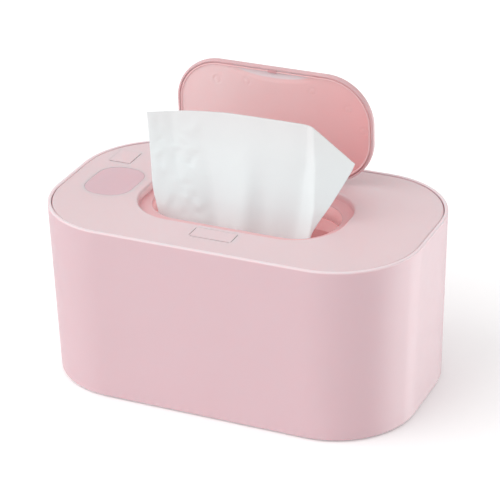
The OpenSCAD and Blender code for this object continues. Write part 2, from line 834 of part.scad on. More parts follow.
module cover_liner() color([0.92, 0.75, 0.77]) {
    inset = rim_wall + reveal + skirt_t + fit;
    trough_y = (trough_front + trough_back) / 2;
    trough_dep = trough_back - trough_front;
    difference() {
        union() {
            loft([at(liner_low, inset), at(liner_z, inset)]);
            // Collar that guides the wipes up to the mouth
            throat(collar_z, liner_low + eps, well_wall);
            // Walls and floor of the arm trough
            block(0, trough_y, 2 * (trough_half + trough_wall), trough_dep + 2 * trough_wall,
                trough_low - trough_wall, liner_z);
            for (p = display_spots) rod(p.x, p.y, display_post_r, liner_z - eps, display_z);
            // Bed of the latch slider, with cheeks that guide it
            block(0, (bed_front + slider_back) / 2, slider_w + 2 * (slide + cheek_t), slider_back - bed_front,
                liner_z - eps, slider_z);
            for (s = [-1, 1]) block(s * (slider_w / 2 + slide + cheek_t / 2),
                (slider_front + slider_back) / 2 - 1, cheek_t, slider_back - slider_front,
                slider_z - eps, slider_top - cheek_drop);
            // Stop for the latch spring
            block(0, bed_front + stop_t / 2, stop_w, stop_t, slider_z - eps, slider_top + cheek_drop);
        }
        throat(collar_z - eps, liner_z + eps);
        block(0, trough_y, 2 * trough_half, trough_dep, trough_low, liner_z + eps);
        // Ways of the button's wedge legs
        for (s = [-1, 1]) block(s * wedge_x, wedge_back - leg_way_in, wedge_w + 4 * slide, leg_way,
            wedge_tip - button_travel - 2 * fit, slider_z + eps);
        cover_posts() rod(0, 0, screw_r + slack, liner_low - eps, liner_z + eps);
        contact_block(slack, liner_low - eps, liner_z + eps);
    }
}

module cover_screws() color("silver")
    cover_posts() {
        rod(0, 0, screw_head_r, liner_low - screw_head_t + eps, liner_low);
        rod(0, 0, screw_r, liner_low, liner_z + cover_thread);
    }

module touch_window() color(rose)
    translate([window_x, window_y, 0]) plate(window_len - 2 * slack, window_dep - 2 * slack, window_r - slack,
        deck_z - window_t - window_sink, deck_z - window_sink);

module display_board() color(green) {
    block(window_x, display_y, display_len, display_dep, display_z, display_top);
    arm_dep = key_y + arm_board_past - window_y;
    block(arm_board_x, window_y + arm_dep / 2, arm_board_len, arm_dep, display_z, display_top);
}

module led_module() color(black)
    block(window_x, led_y, led_len, led_dep, display_top, display_top + led_h);

module tact_switch() color(black) difference() {
    block(key_x, key_y, 2 * switch_half, 2 * switch_half, display_top, display_top + switch_h);
    rod(key_x, key_y, plunger_r + slack, display_top + switch_h - plunger_in - key_travel - slide,
        display_top + switch_h + eps);
}

module contact_pins() {
    color(black) contact_block(-slack, liner_low, liner_z + 2);
    color("gold") for (k = [-1.5:1.5]) rod(contact_x, contact_pitch * k, contact_r, flange_z, liner_low);
}

module hinge_pin() color("silver")
    cross_rod(0, pin_y, pin_z, pin_r, 2 * pin_half);

module torsion_springs() color(wire_grey)
    for (s = [-1, 1]) {
        mid = s * (ear_in + ear_t + arm_x - arm_w / 2) / 2;
        translate([mid - spring_run / 2, pin_y, pin_z]) rotate([0, 90, 0])
            coil(spring_r, spring_wire, spring_run, spring_turns);
    }

module latch_spring() color(wire_grey)
    translate([0, slider_front - latch_wire - slack, slider_z + latch_coil_r + eps]) rotate([90, 0, 0])
        coil(latch_coil_r, latch_wire, latch_room - 2 * (latch_wire + slack), latch_turns);

// The standing wipe

// Foot and top of the wipe at u, 0 at its left edge and 1 at its right
function sheet_foot(u) = [sheet_x0 + sheet_low * u, sheet_z0];
function sheet_head(u) = let (s = min(u / sheet_corner, 1),
    e = max(u - sheet_corner, 0) / (1 - sheet_corner))
    [sheet_x0 + sheet_shift + sheet_top * s + sheet_flare * e,
     rim_z + sheet_rise + sheet_left_drop * (sin(min(s * 180, 90)) - 1) - sheet_tip_drop * e];
// Forward wave of the folds at u and at v, 0 at the foot and 1 at the top: two waves of unlike
// length, which deepen as the wipe leaves the mouth
function sheet_wave(u, v) = sheet_fold * (0.35 + 0.65 * v) *
    (0.7 * sin(560 * u + 30) + 0.35 * sin(1130 * u + 80 + 60 * v));
function sheet_at(u, v) = let (f = sheet_foot(u), h = sheet_head(u), w = pow(v, sheet_bow))
    [f.x + (h.x - f.x) * w, sheet_y0 + sheet_wave(u, v) + sheet_back * v * v, f.y + (h.y - f.y) * v];

module wipe_sheet() color([0.96, 0.96, 0.97]) {
    n = sheet_cols + 1;
    m = sheet_rows + 1;
    front = [for (j = [0:sheet_rows], i = [0:sheet_cols]) sheet_at(i / sheet_cols, j / sheet_rows)];
    back = [for (p = front) p + [0, sheet_t, 0]];
    t = n * m;
    faces = [for (j = [0:m - 2], i = [0:n - 2]) let (a = j * n + i, b = a + 1, c = a + n, d = c + 1)
        each [[a, c, b], [b, c, d], [t + a, t + b, t + c], [t + b, t + d, t + c]]];
    rim = concat([for (i = [0:n - 2]) [i, i + 1]],
        [for (j = [0:m - 2]) [j * n + n - 1, (j + 1) * n + n - 1]],
        [for (i = [n - 2:-1:0]) [(m - 1) * n + i + 1, (m - 1) * n + i]],
        [for (j = [m - 2:-1:0]) [(j + 1) * n, j * n]]);
    edges = [for (e = rim) each [[e[0], e[1], t + e[0]], [e[1], t + e[1], t + e[0]]]];
    polyhedron(concat(front, back), concat(faces, edges));
}

// Pieces of the lid, drawn shut and swung open

// A plate of the lid's outline, drawn in by inset
module lid_plate(inset, z0, z1) {
    translate([0, seat_y, 0]) plate(lid_len - 2 * inset, lid_dep - 2 * inset, lid_r - inset, z0, z1);
}

// What the seat's rear edge sweeps past the lid
module relief() {
    cross_rod(0, pin_y, pin_z, relief_r, seat_len);
}

module bracket_spots() {
    for (x = bracket_screw_x) translate([x, bracket_y, 0]) children();
}

module lid_shell() color(pink) swung_open() difference() {
    loft(concat([[lid_low, lid_len - 2 * lid_chamfer, lid_dep - 2 * lid_chamfer, lid_r - lid_chamfer],
            [lid_low + lid_chamfer, lid_len, lid_dep, lid_r]],
        round_up(deck_z, lid_len, lid_dep, lid_r, lid_round)), 0, seat_y);
    lid_plate(lid_rim, lid_low - eps, lid_in);
    relief();
    bracket_spots() rod(0, 0, bracket_screw_r + snug, lid_in - eps, lid_in + lid_top / 2);
}

module lid_liner() color(soft_pink) swung_open() difference() {
    union() {
        difference() {
            lid_plate(liner_gap, lid_liner_z, lid_in);
            // Rabbet of the sealing lip
            seal_ring(lid_liner_z - eps, lid_liner_z + seal_seat, seal_inset + eps);
            // Band along the free edge, with a slit for a fingertip
            rod(0, band_y - band_r, band_r, lid_liner_z - eps, lid_liner_z + band_sink);
            block(0, slit_y, slit_w, slit_dep, lid_liner_z - eps, lid_liner_z + slit_sink);
        }
        // Catch that the slider's nose holds down: a stem with a barb at its foot
        block(0, catch_stem_y, catch_w, catch_stem, catch_low, lid_in);
        block(0, lid_front + (liner_gap + eps) / 2, catch_w, liner_gap + eps, catch_low,
            slider_top - nose_t - catch_slack);
    }
    block(0, bracket_y, 2 * (bracket_half + fit), bracket_dep + 2 * fit, lid_liner_z - eps, lid_in + eps);
    relief();
}

// A ring along the liner's edge, reaching past the edge by grow
module seal_ring(z0, z1, grow = 0) {
    edge = liner_gap + seal_inset;
    difference() {
        lid_plate(edge - grow, z0, z1);
        lid_plate(edge + seal_w, z0 - eps, z1 + eps);
    }
}

module lid_seal() color(pink) swung_open() difference() {
    low = lid_liner_z - seal_h;
    seal_ring(low, lid_liner_z + seal_seat);
    block(0, bracket_y, 2 * (bracket_half + fit), bracket_dep + 2 * seal_clear, low - eps, lid_in + eps);
    block(0, catch_stem_y, catch_w + 2 * fit, catch_stem + 2 * fit, low - eps, lid_in + eps);
    relief();
}

module hinge_arms() color(pink) swung_open() difference() {
    hub_len = ear_out - fit - arm_x + arm_w / 2;
    union() {
        block(0, bracket_y, 2 * bracket_half, bracket_dep, lid_liner_z, lid_in);
        for (s = [-1, 1]) {
            // Gooseneck, a quarter and more of a ring round the pin
            translate([s * arm_x - arm_w / 2, pin_y, pin_z]) rotate([90, 0, 90])
                rotate_extrude(angle = neck_bend, start = neck_start)
                    translate([arm_r, 0]) square([arm_t, arm_w]);
            // Web from the gooseneck's foot to the hub on the pin
            translate([s * arm_x - arm_w / 2, pin_y, pin_z]) rotate([web_lean, 0, 0])
                translate([0, -web_t / 2, fit - arm_out]) cube([arm_w, web_t, arm_out - fit]);
            cross_rod(s * (arm_x - arm_w / 2 + ear_out - fit) / 2, pin_y, pin_z, hub_r, hub_len);
        }
    }
    cross_rod(0, pin_y, pin_z, pin_r + pin_fit, 2 * pin_half);
    block(0, bracket_y, lid_len, lid_dep, lid_in, lid_in + arm_out);
    block(0, lid_rear, lid_len, 2 * (lid_rim + slack), lid_low - fit, lid_in + eps);
    bracket_spots() rod(0, 0, bracket_screw_r + slack, lid_liner_z - eps, lid_in + eps);
}

module hinge_screws() color("silver") swung_open()
    bracket_spots() {
        rod(0, 0, bracket_screw_r, lid_liner_z, lid_in + lid_top / 2 - slack);
        rod(0, 0, bracket_head_r, lid_liner_z - bracket_head_t, lid_liner_z);
    }

// Latch and key

module latch_button() color(pink) {
    block(0, button_y, button_len, button_dep, button_z, deck_z);
    for (s = [-1, 1]) {
        // Lips at both ends that keep the button in, each on a short post
        block(s * (button_len / 2 - fit), button_y, lip_w, button_dep - lip_t,
            button_z - lip_t, deck_low - slack);
        block(s * (button_len / 2 - 3 * fit), button_y, lip_t, button_dep - lip_t,
            button_z - lip_t, button_z + slide);
        // Wedge legs that push the slider forward
        front = wedge_back - wedge_t;
        rise = button_z - wedge_tip;
        side_cut(s * wedge_x, wedge_w) polygon([[wedge_back, button_z + slide], [wedge_back, wedge_tip],
            [front, wedge_tip], [front - rise, button_z], [front - rise, button_z + slide]]);
    }
}

module latch_slider() color([0.85, 0.85, 0.86]) difference() {
    union() {
        block(0, (slider_front + slider_back) / 2, slider_w, slider_back - slider_front, slider_z, slider_top);
        // Nose that reaches over the lid's catch
        block(0, (slider_back + nose_tip - 1) / 2, catch_w - 2 * slide, nose_tip - slider_back + 1,
            slider_top - nose_t, slider_top);
    }
    // Slots with a slanted front wall, parallel to the button's wedges
    back = wedge_back + button_travel + fit;
    front = wedge_back - wedge_t - slide + wedge_tip;
    for (s = [-1, 1]) side_cut(s * wedge_x, wedge_w + 2 * slide)
        polygon([[back, slider_z - eps], [back, slider_top + eps],
            [front - slider_top - eps, slider_top + eps], [front - slider_z + eps, slider_z - eps]]);
}

module power_key() color(pink) {
    block(key_x, key_y, key_len - 2 * button_gap, key_dep - 2 * button_gap, deck_low - slide, deck_z + slide);
    // Flange below the deck that keeps the key in
    block(key_x, key_y, key_len + 2 * key_lip, key_dep - 2, deck_low - key_travel - eps,
        deck_low - slack);
}

module switch_plunger() color(black)
    rod(key_x, key_y, plunger_r, display_top + switch_h - plunger_in, deck_low - key_travel - eps);

outer_casing();
base_plate();
base_screws();
rubber_feet();
inner_tub();
heating_film();
insulation_pad();
insulation_wrap();
temperature_sensor();
thermal_cutout();
main_board();
board_parts();
board_screws();
power_inlet();
contact_pads();
wipe_stack();
top_cover();
cover_liner();
cover_screws();
touch_window();
display_board();
led_module();
tact_switch();
contact_pins();
hinge_pin();
torsion_springs();
latch_spring();
wipe_sheet();
lid_shell();
lid_liner();
lid_seal();
hinge_arms();
hinge_screws();
latch_button();
latch_slider();
power_key();
switch_plunger();
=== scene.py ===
import math

import bmesh
import bpy
import numpy as np
from mathutils import Matrix, Vector
from mathutils.geometry import delaunay_2d_cdt


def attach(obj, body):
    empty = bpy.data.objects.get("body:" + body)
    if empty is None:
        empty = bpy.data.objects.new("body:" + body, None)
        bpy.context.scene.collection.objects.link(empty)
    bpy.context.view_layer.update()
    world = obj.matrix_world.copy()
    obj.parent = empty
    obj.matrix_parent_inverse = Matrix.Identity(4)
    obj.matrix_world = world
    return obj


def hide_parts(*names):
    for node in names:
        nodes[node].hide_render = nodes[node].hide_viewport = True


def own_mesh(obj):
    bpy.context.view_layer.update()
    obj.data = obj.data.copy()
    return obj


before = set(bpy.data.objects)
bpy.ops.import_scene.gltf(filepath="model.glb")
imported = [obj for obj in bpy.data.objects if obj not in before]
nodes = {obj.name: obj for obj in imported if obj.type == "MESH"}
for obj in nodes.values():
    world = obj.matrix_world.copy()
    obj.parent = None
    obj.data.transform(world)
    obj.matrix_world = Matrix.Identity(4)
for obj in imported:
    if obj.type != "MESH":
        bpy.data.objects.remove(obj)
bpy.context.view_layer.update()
mm = 0.001  # lengths below are in millimetres, meshes are in metres
print("frame loaded:", len(nodes), "nodes")


def roundRing(length, depth, radius, steps=24, middleY=0.0):
    # Rounded rectangle: corner centre + radius * (cos a, sin a), with a turning a quarter in each
    # corner
    turn = np.linspace(0, np.pi / 2, steps + 1)
    quarter = np.arange(4)[:, None]
    angle = turn[None, :] + quarter * np.pi / 2
    sideX = np.where((quarter == 0) | (quarter == 3), 1.0, -1.0)
    sideY = np.where(quarter < 2, 1.0, -1.0)
    x = sideX * (length / 2 - radius) + radius * np.cos(angle)
    y = middleY + sideY * (depth / 2 - radius) + radius * np.sin(angle)
    return np.stack([x.ravel(), y.ravel()], 1)


def atHeight(ring, z):
    # Lifts a flat ring to the height z
    return np.column_stack([ring, np.full(len(ring), float(z))])


def skin(rings, closed=False):
    # Grid over rings of equal length: point (row, column) is ring row at step column, and the
    # columns wrap round
    rings = np.asarray(rings, float)
    rows, cols = rings.shape[:2]
    index = np.arange(rows * cols).reshape(rows, cols)
    if closed:
        index = np.vstack([index, index[:1]])
    nextCol = np.roll(index, -1, axis=1)
    quads = np.stack([index[:-1], nextCol[:-1], nextCol[1:], index[1:]], -1).reshape(-1, 4)
    return rings.reshape(-1, 3), quads.tolist()


def inside(points, ring):
    # Even-odd rule: a point is inside where a ray along +X crosses the ring an odd number of times
    ax, ay = ring[:, 0], ring[:, 1]
    bx, by = np.roll(ax, -1), np.roll(ay, -1)
    px, py = points[:, 0:1], points[:, 1:2]
    spans = (ay > py) != (by > py)
    rise = np.where(by == ay, 1e-12, by - ay)
    crossing = spans & (px < (bx - ax) * (py - ay) / rise + ax)
    return crossing.sum(1) % 2 == 1


def nearest(points, ring):
    # Distance from each point to the ring's nearest corner or edge point
    a, b = ring, np.roll(ring, -1, axis=0)
    run = b - a
    t = ((points[:, None] - a) * run).sum(2) / np.maximum((run ** 2).sum(1), 1e-12)
    foot = a + np.clip(t, 0, 1)[..., None] * run
    return np.sqrt(((points[:, None] - foot) ** 2).sum(2)).min(1)


def flatFill(outer, holes=(), spacing=None):
    # Triangles between an outer ring and its holes, with an even field of inner points if spacing
    # is given
    rings = [outer, *holes]
    points = np.vstack(rings)
    edges, start = [], 0
    for ring in rings:
        n = len(ring)
        edges += [(start + i, start + (i + 1) % n) for i in range(n)]
        start += n
    if spacing:
        low, high = outer.min(0), outer.max(0)
        gx, gy = np.meshgrid(np.arange(low[0], high[0], spacing), np.arange(low[1], high[1], spacing))
        field = np.stack([gx.ravel(), gy.ravel()], 1)
        keep = inside(field, outer) & (nearest(field, outer) > spacing * 0.6)
        for hole in holes:
            keep &= ~inside(field, hole) & (nearest(field, hole) > spacing * 0.6)
        points = np.vstack([points, field[keep]])
    found, _, tris, *_ = delaunay_2d_cdt([Vector(p) for p in points], edges, [], 0, 1e-5)
    flat = np.array([(v.x, v.y) for v in found])
    tris = np.array(tris)
    centre = flat[tris].mean(1)
    keep = inside(centre, outer)
    for hole in holes:
        keep &= ~inside(centre, hole)
    return flat, tris[keep].tolist()


def capAt(z, outer, holes=(), spacing=None):
    # A level lid on a ring, with its holes left open
    flat, tris = flatFill(outer, holes, spacing)
    return atHeight(flat, z), tris


def arc(middle, radius, fromDeg, toDeg, steps=6):
    # Points of an arc in the (inset, height) plane: middle + radius * (cos a, sin a)
    a = np.radians(np.linspace(fromDeg, toDeg, steps + 1))
    return [(middle[0] + radius * math.cos(t), middle[1] + radius * math.sin(t)) for t in a]


def swungOpen(points, lid):
    # Turns points drawn with the lid shut about the hinge pin, by the angle at which the lid stands
    a = math.radians(-lid["angle"])
    y, z = points[:, 1] - lid["pinY"], points[:, 2] - lid["pinZ"]
    return np.column_stack([points[:, 0], lid["pinY"] + y * math.cos(a) - z * math.sin(a),
                            lid["pinZ"] + y * math.sin(a) + z * math.cos(a)])


def makePiece(name, shells, finish, body, stands=(), sharp=40, weld=True, outward=True):
    # Joins shells of (points, faces) into one mesh, welds them and shades the soft edges smooth
    points, faces, start = [], [], 0
    for p, f in shells:
        points.append(p)
        faces += [[i + start for i in face] for face in f]
        start += len(p)
    mesh = bpy.data.meshes.new(name)
    mesh.from_pydata((np.vstack(points) * mm).tolist(), [], faces)
    work = bmesh.new()
    work.from_mesh(mesh)
    if weld:
        bmesh.ops.remove_doubles(work, verts=work.verts, dist=2e-6)
    if outward:
        bmesh.ops.recalc_face_normals(work, faces=work.faces)
    work.to_mesh(mesh)
    work.free()
    mesh.polygons.foreach_set("use_smooth", np.ones(len(mesh.polygons), bool))
    mesh.set_sharp_from_angle(angle=math.radians(sharp))
    mesh.materials.append(finish)
    piece = bpy.data.objects.new(name, mesh)
    bpy.context.scene.collection.objects.link(piece)
    if stands:
        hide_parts(*stands)
    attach(piece, body)
    return piece


def evenNormals(piece):
    # Large flat faces decide the shading beside the soft edges
    piece.modifiers.new("even_normals", "WEIGHTED_NORMAL").keep_sharp = True
    return piece


def startFinish(name, look):
    material = bpy.data.materials.new(name)
    material.use_nodes = True
    tree = material.node_tree
    shader = tree.nodes["Principled BSDF"]
    for socket, value in look.items():
        shader.inputs[socket].default_value = value
    place = tree.nodes.new("ShaderNodeTexCoord").outputs["Object"]
    return material, tree, shader, place


def noiseFrom(tree, place, scale, detail=3.0, roughness=0.55):
    noise = tree.nodes.new("ShaderNodeTexNoise")
    noise.inputs["Scale"].default_value = scale
    noise.inputs["Detail"].default_value = detail
    noise.inputs["Roughness"].default_value = roughness
    tree.links.new(place, noise.inputs["Vector"])
    return noise.outputs["Fac"]


def rangeOf(tree, value, low, high, fromLow=0.3, fromHigh=0.7):
    span = tree.nodes.new("ShaderNodeMapRange")
    for socket, number in (("From Min", fromLow), ("From Max", fromHigh), ("To Min", low), ("To Max", high)):
        span.inputs[socket].default_value = number
    tree.links.new(value, span.inputs["Value"])
    return span.outputs["Result"]


def blendOf(tree, share, first, second):
    # Mixes two tones by share; the first may also be the output of another mix
    mix = tree.nodes.new("ShaderNodeMix")
    mix.data_type = "RGBA"
    if isinstance(first, tuple):
        mix.inputs["A"].default_value = (*first, 1)
    else:
        tree.links.new(first, mix.inputs["A"])
    mix.inputs["B"].default_value = (*second, 1)
    tree.links.new(share, mix.inputs["Factor"])
    return mix.outputs["Result"]


def shareAlong(tree, place, start, end):
    # 0 at the start point and 1 at the end point, in line with the way between them:
    # (place - start) . (end - start) / |end - start|^2
    run = (Vector(end) - Vector(start)) * mm
    dot = tree.nodes.new("ShaderNodeVectorMath")
    dot.operation = "DOT_PRODUCT"
    tree.links.new(place, dot.inputs[0])
    dot.inputs[1].default_value = run / run.length_squared
    first = (Vector(start) * mm).dot(run) / run.length_squared
    return rangeOf(tree, dot.outputs["Value"], 0, 1, first, first + 1)


def shareWithin(tree, place, centre, half):
    # 1 inside an oval column and 0 outside it, by the length of (place - centre) / half. A half
    # of 0 is endless
    scale = [1 / (h * mm) if h else 0 for h in half]
    scaled = tree.nodes.new("ShaderNodeMapping")
    scaled.inputs["Scale"].default_value = scale
    scaled.inputs["Location"].default_value = [-c * mm * s for c, s in zip(centre, scale)]
    tree.links.new(place, scaled.inputs["Vector"])
    reach = tree.nodes.new("ShaderNodeVectorMath")
    reach.operation = "LENGTH"
    tree.links.new(scaled.outputs["Vector"], reach.inputs[0])
    return rangeOf(tree, reach.outputs["Value"], 1, 0, 1.05, 1.15)


def productOf(tree, first, second):
    both = tree.nodes.new("ShaderNodeMath")
    both.operation = "MULTIPLY"
    tree.links.new(first, both.inputs[0])
    tree.links.new(second, both.inputs[1])
    return both.outputs["Value"]


def bumpFrom(tree, shader, height, strength, distance, before=None):
    bump = tree.nodes.new("ShaderNodeBump")
    bump.inputs["Strength"].default_value = strength
    bump.inputs["Distance"].default_value = distance
    tree.links.new(height, bump.inputs["Height"])
    if before:
        tree.links.new(before, bump.inputs["Normal"])
    tree.links.new(bump.outputs["Normal"], shader.inputs["Normal"])
    return bump.outputs["Normal"]


def mouldedPlastic(name, tone, deep, rough=(0.38, 0.5), grain=0.12, scatter=0.3, gloss=0.4, glow=0.0,
                   shades=()):
    # Injection-moulded plastic: cloudy tone, a fine spark texture and slightly uneven gloss. Each
    # shade is a painted tone that comes in along a line between two points or within an oval, standing
    # in for the light and shade that fall on the surface (painted highlights, painted shade and painted
    # reflections). Glow is painted light given off by the surface, standing in for light through the wall
    material, tree, shader, place = startFinish(name, {
        "Specular IOR Level": gloss, "Subsurface Weight": scatter,
        "Subsurface Radius": (0.005, 0.0018, 0.0018), "Subsurface Scale": 0.8,
        "Emission Color": (*tone, 1), "Emission Strength": glow})
    cloud = rangeOf(tree, noiseFrom(tree, place, 14, 2), 0, 1)
    colour = blendOf(tree, cloud, tone, deep)
    for shade in shades:
        shares = [shareAlong(tree, place, shade["start"], shade["end"])] if "start" in shade else []
        shares += [shareWithin(tree, place, *shade["within"])] if "within" in shade else []
        share = shares[0] if len(shares) == 1 else productOf(tree, *shares)
        colour = blendOf(tree, share, colour, shade["tone"])
    tree.links.new(colour, shader.inputs["Base Color"])
    haze = noiseFrom(tree, place, 90, 4)
    tree.links.new(rangeOf(tree, haze, *rough), shader.inputs["Roughness"])
    spark = noiseFrom(tree, place, 2600, 2, 0.7)
    bumpFrom(tree, shader, spark, grain, 0.00006)
    return material


# Painted light and shade: the casing is painted lighter on its rim as a highlight, the cover pinker
# down its seat and mouth as the shade and bounced light in that recess, and the liner deeper towards
# the hinge as painted shade and paler on the finger ramp as a painted reflection
coverOval = ((0, 0, 0), (80, 44, 0))
plastics = {
    "casing": dict(tone=(0.65, 0.44, 0.477), deep=(0.64, 0.432, 0.467), gloss=0.8, shades=[
        dict(start=(0, 0, 93.3), end=(0, 0, 94.2), tone=(0.84, 0.70, 0.725))]),
    # Painted reflection: the cover's tone is paler and greyer than the casing's, standing in for the white
    # gloss that the deck reflects
    "cover": dict(tone=(0.775, 0.60, 0.62), deep=(0.76, 0.59, 0.607), shades=[
        dict(start=(0, 0, 93.7), end=(0, 0, 90.2), within=coverOval, tone=(0.80, 0.47, 0.485)),
        dict(start=(0, 0, 89.6), end=(0, 0, 86.0), within=coverOval, tone=(0.93, 0.46, 0.47))]),
    "lidShell": dict(tone=(0.70, 0.445, 0.46), deep=(0.685, 0.43, 0.445)),
    "liner": dict(tone=(0.98, 0.66, 0.665), deep=(0.965, 0.645, 0.65), rough=(0.3, 0.42), shades=[
        dict(start=(-30, 30, 140), end=(45, 30, 105), tone=(0.885, 0.43, 0.435)),
        dict(within=((0, 0, 154), (21, 0, 5.6)), tone=(0.90, 0.725, 0.75))]),
    # Painted shade: the catch is moulded in the liner's plastic, but its tone is darker and redder for the
    # shade along it
    "catch": dict(tone=(0.68, 0.34, 0.36), deep=(0.66, 0.32, 0.34)),
    # Painted light: the tub's glow gives off light that stands in for light shining through the walls into
    # the mouth
    "tub": dict(tone=(0.93, 0.50, 0.505), deep=(0.915, 0.485, 0.49), rough=(0.3, 0.42), glow=0.14),
    "window": dict(tone=(0.72, 0.48, 0.525), deep=(0.705, 0.465, 0.51), rough=(0.2, 0.28), grain=0.03),
    "black": dict(tone=(0.03, 0.03, 0.033), deep=(0.02, 0.02, 0.022), scatter=0.0),
    "white": dict(tone=(0.74, 0.74, 0.72), deep=(0.70, 0.70, 0.68)),
}
finishes = {name: mouldedPlastic(name + "_plastic", **look) for name, look in plastics.items()}


def drawnSteel(name, tone, deep):
    # Drawn or plated metal: fine streaks along X and a little tarnish
    material, tree, shader, place = startFinish(name, {"Metallic": 1.0})
    stretch = tree.nodes.new("ShaderNodeMapping")
    stretch.inputs["Scale"].default_value = (0.06, 1, 1)
    tree.links.new(place, stretch.inputs["Vector"])
    streak = noiseFrom(tree, stretch.outputs["Vector"], 4200, 2)
    tree.links.new(blendOf(tree, rangeOf(tree, noiseFrom(tree, place, 260), 0, 1), tone, deep),
                   shader.inputs["Base Color"])
    tree.links.new(rangeOf(tree, streak, 0.26, 0.42), shader.inputs["Roughness"])
    bumpFrom(tree, shader, streak, 0.15, 0.00002)
    return material


finishes["steel"] = drawnSteel("drawn_steel", (0.62, 0.62, 0.63), (0.50, 0.50, 0.52))
finishes["brass"] = drawnSteel("plated_brass", (0.72, 0.53, 0.20), (0.62, 0.44, 0.15))


def softRubber(name, tone, deep, rough):
    # Silicone or rubber: dull, with a dusty bloom and a pebbled skin
    material, tree, shader, place = startFinish(name, {"Specular IOR Level": 0.3, "Sheen Weight": 0.15})
    bloom = rangeOf(tree, noiseFrom(tree, place, 140, 4), 0, 1)
    tree.links.new(blendOf(tree, bloom, tone, deep), shader.inputs["Base Color"])
    tree.links.new(rangeOf(tree, noiseFrom(tree, place, 600), *rough), shader.inputs["Roughness"])
    bumpFrom(tree, shader, noiseFrom(tree, place, 1900, 2), 0.25, 0.00008)
    return material


finishes["silicone"] = softRubber("silicone", (0.93, 0.60, 0.61), (0.91, 0.575, 0.585), (0.38, 0.5))
finishes["foot"] = softRubber("foot_rubber", (0.16, 0.15, 0.15), (0.12, 0.115, 0.115), (0.6, 0.8))
finishes["foam"] = softRubber("closed_cell_foam", (0.72, 0.72, 0.69), (0.66, 0.66, 0.62), (0.75, 0.9))


def boardResist():
    # Circuit board: green resist with faint tracks under it
    material, tree, shader, place = startFinish("board_resist", {"Specular IOR Level": 0.5})
    tracks = tree.nodes.new("ShaderNodeTexBrick")
    for socket, value in (("Color1", (0.012, 0.10, 0.045, 1)), ("Color2", (0.010, 0.085, 0.038, 1)),
                          ("Mortar", (0.02, 0.16, 0.07, 1)), ("Scale", 260.0), ("Mortar Size", 0.03)):
        tracks.inputs[socket].default_value = value
    tree.links.new(place, tracks.inputs["Vector"])
    tree.links.new(tracks.outputs["Color"], shader.inputs["Base Color"])
    tree.links.new(rangeOf(tree, noiseFrom(tree, place, 700), 0.25, 0.4), shader.inputs["Roughness"])
    bumpFrom(tree, shader, tracks.outputs["Fac"], 0.3, 0.00004)
    return material


def amberFilm():
    # Heating film: amber plastic with etched foil runs under it
    material, tree, shader, place = startFinish("amber_film", {"Specular IOR Level": 0.5})
    runs = tree.nodes.new("ShaderNodeTexWave")
    runs.inputs["Scale"].default_value = 90
    runs.inputs["Distortion"].default_value = 1.5
    tree.links.new(place, runs.inputs["Vector"])
    tree.links.new(blendOf(tree, runs.outputs["Fac"], (0.45, 0.19, 0.04), (0.62, 0.33, 0.10)),
                   shader.inputs["Base Color"])
    tree.links.new(rangeOf(tree, runs.outputs["Fac"], 0.25, 0.4), shader.inputs["Roughness"])
    bumpFrom(tree, shader, runs.outputs["Fac"], 0.3, 0.00005)
    return material


finishes["board"] = boardResist()
finishes["film"] = amberFilm()


def moistNonwoven():
    # Nonwoven wipe: matted fibres and a faint embossed grid. Its tone is painted lighter and cooler near
    # the mouth, to lift the shade down there and offset the warm light that the pink walls throw on it
    material, tree, shader, place = startFinish("moist_nonwoven", {
        "Roughness": 0.75, "Specular IOR Level": 0.22, "Sheen Weight": 0.25, "Sheen Roughness": 0.5,
        "Subsurface Weight": 0.06, "Subsurface Radius": (0.002, 0.002, 0.0021), "Subsurface Scale": 0.5})
    stretch = tree.nodes.new("ShaderNodeMapping")
    stretch.inputs["Scale"].default_value = (1, 1, 0.35)
    tree.links.new(place, stretch.inputs["Vector"])
    fibre = noiseFrom(tree, stretch.outputs["Vector"], 1500, 5, 0.7)
    damp = rangeOf(tree, noiseFrom(tree, place, 45, 4), 0, 1)
    dry = blendOf(tree, damp, (0.78, 0.788, 0.79), (0.76, 0.768, 0.77))
    paintedLiftNearMouth = shareAlong(tree, place, (0, 0, 143), (0, 0, 98))
    tree.links.new(blendOf(tree, paintedLiftNearMouth, dry, (0.865, 0.99, 0.995)), shader.inputs["Base Color"])
    first = bumpFrom(tree, shader, fibre, 0.35, 0.00012)
    dots = tree.nodes.new("ShaderNodeTexVoronoi")
    dots.inputs["Scale"].default_value = 420
    tree.links.new(place, dots.inputs["Vector"])
    bumpFrom(tree, shader, dots.outputs["Distance"], 0.15, 0.0001, first)
    return material


finishes["wipe"] = moistNonwoven()
print("finishes made:", len(finishes))

housing = dict(length=200, depth=117.4, height=93.3, corner=44.4, leanLength=2.6, leanDepth=0.6,
               leanCorner=1.9, stand=1.0, edge=0.8, rimWall=1.8, caseWall=3.0, baseInset=1.6,
               baseTop=4.2, shelf=77.2, lip=0.35, midRows=(40, 70), inletRows=(6.0, 17.0),
               inletX=6.0, inletZ=11.2, inletWide=9.5, inletHigh=3.8)
rimZ = housing["stand"] + housing["height"]


def housingRing(inset, z, steps=24):
    # Rounded rectangle of the housing at height z: every size shrinks in line with the drop from
    # the rim
    drop = (rimZ - z) / housing["height"]
    ring = roundRing(housing["length"] - 2 * (housing["leanLength"] * drop + inset),
                     housing["depth"] - 2 * (housing["leanDepth"] * drop + inset),
                     housing["corner"] - housing["leanCorner"] * drop - inset, steps)
    return atHeight(ring, z)


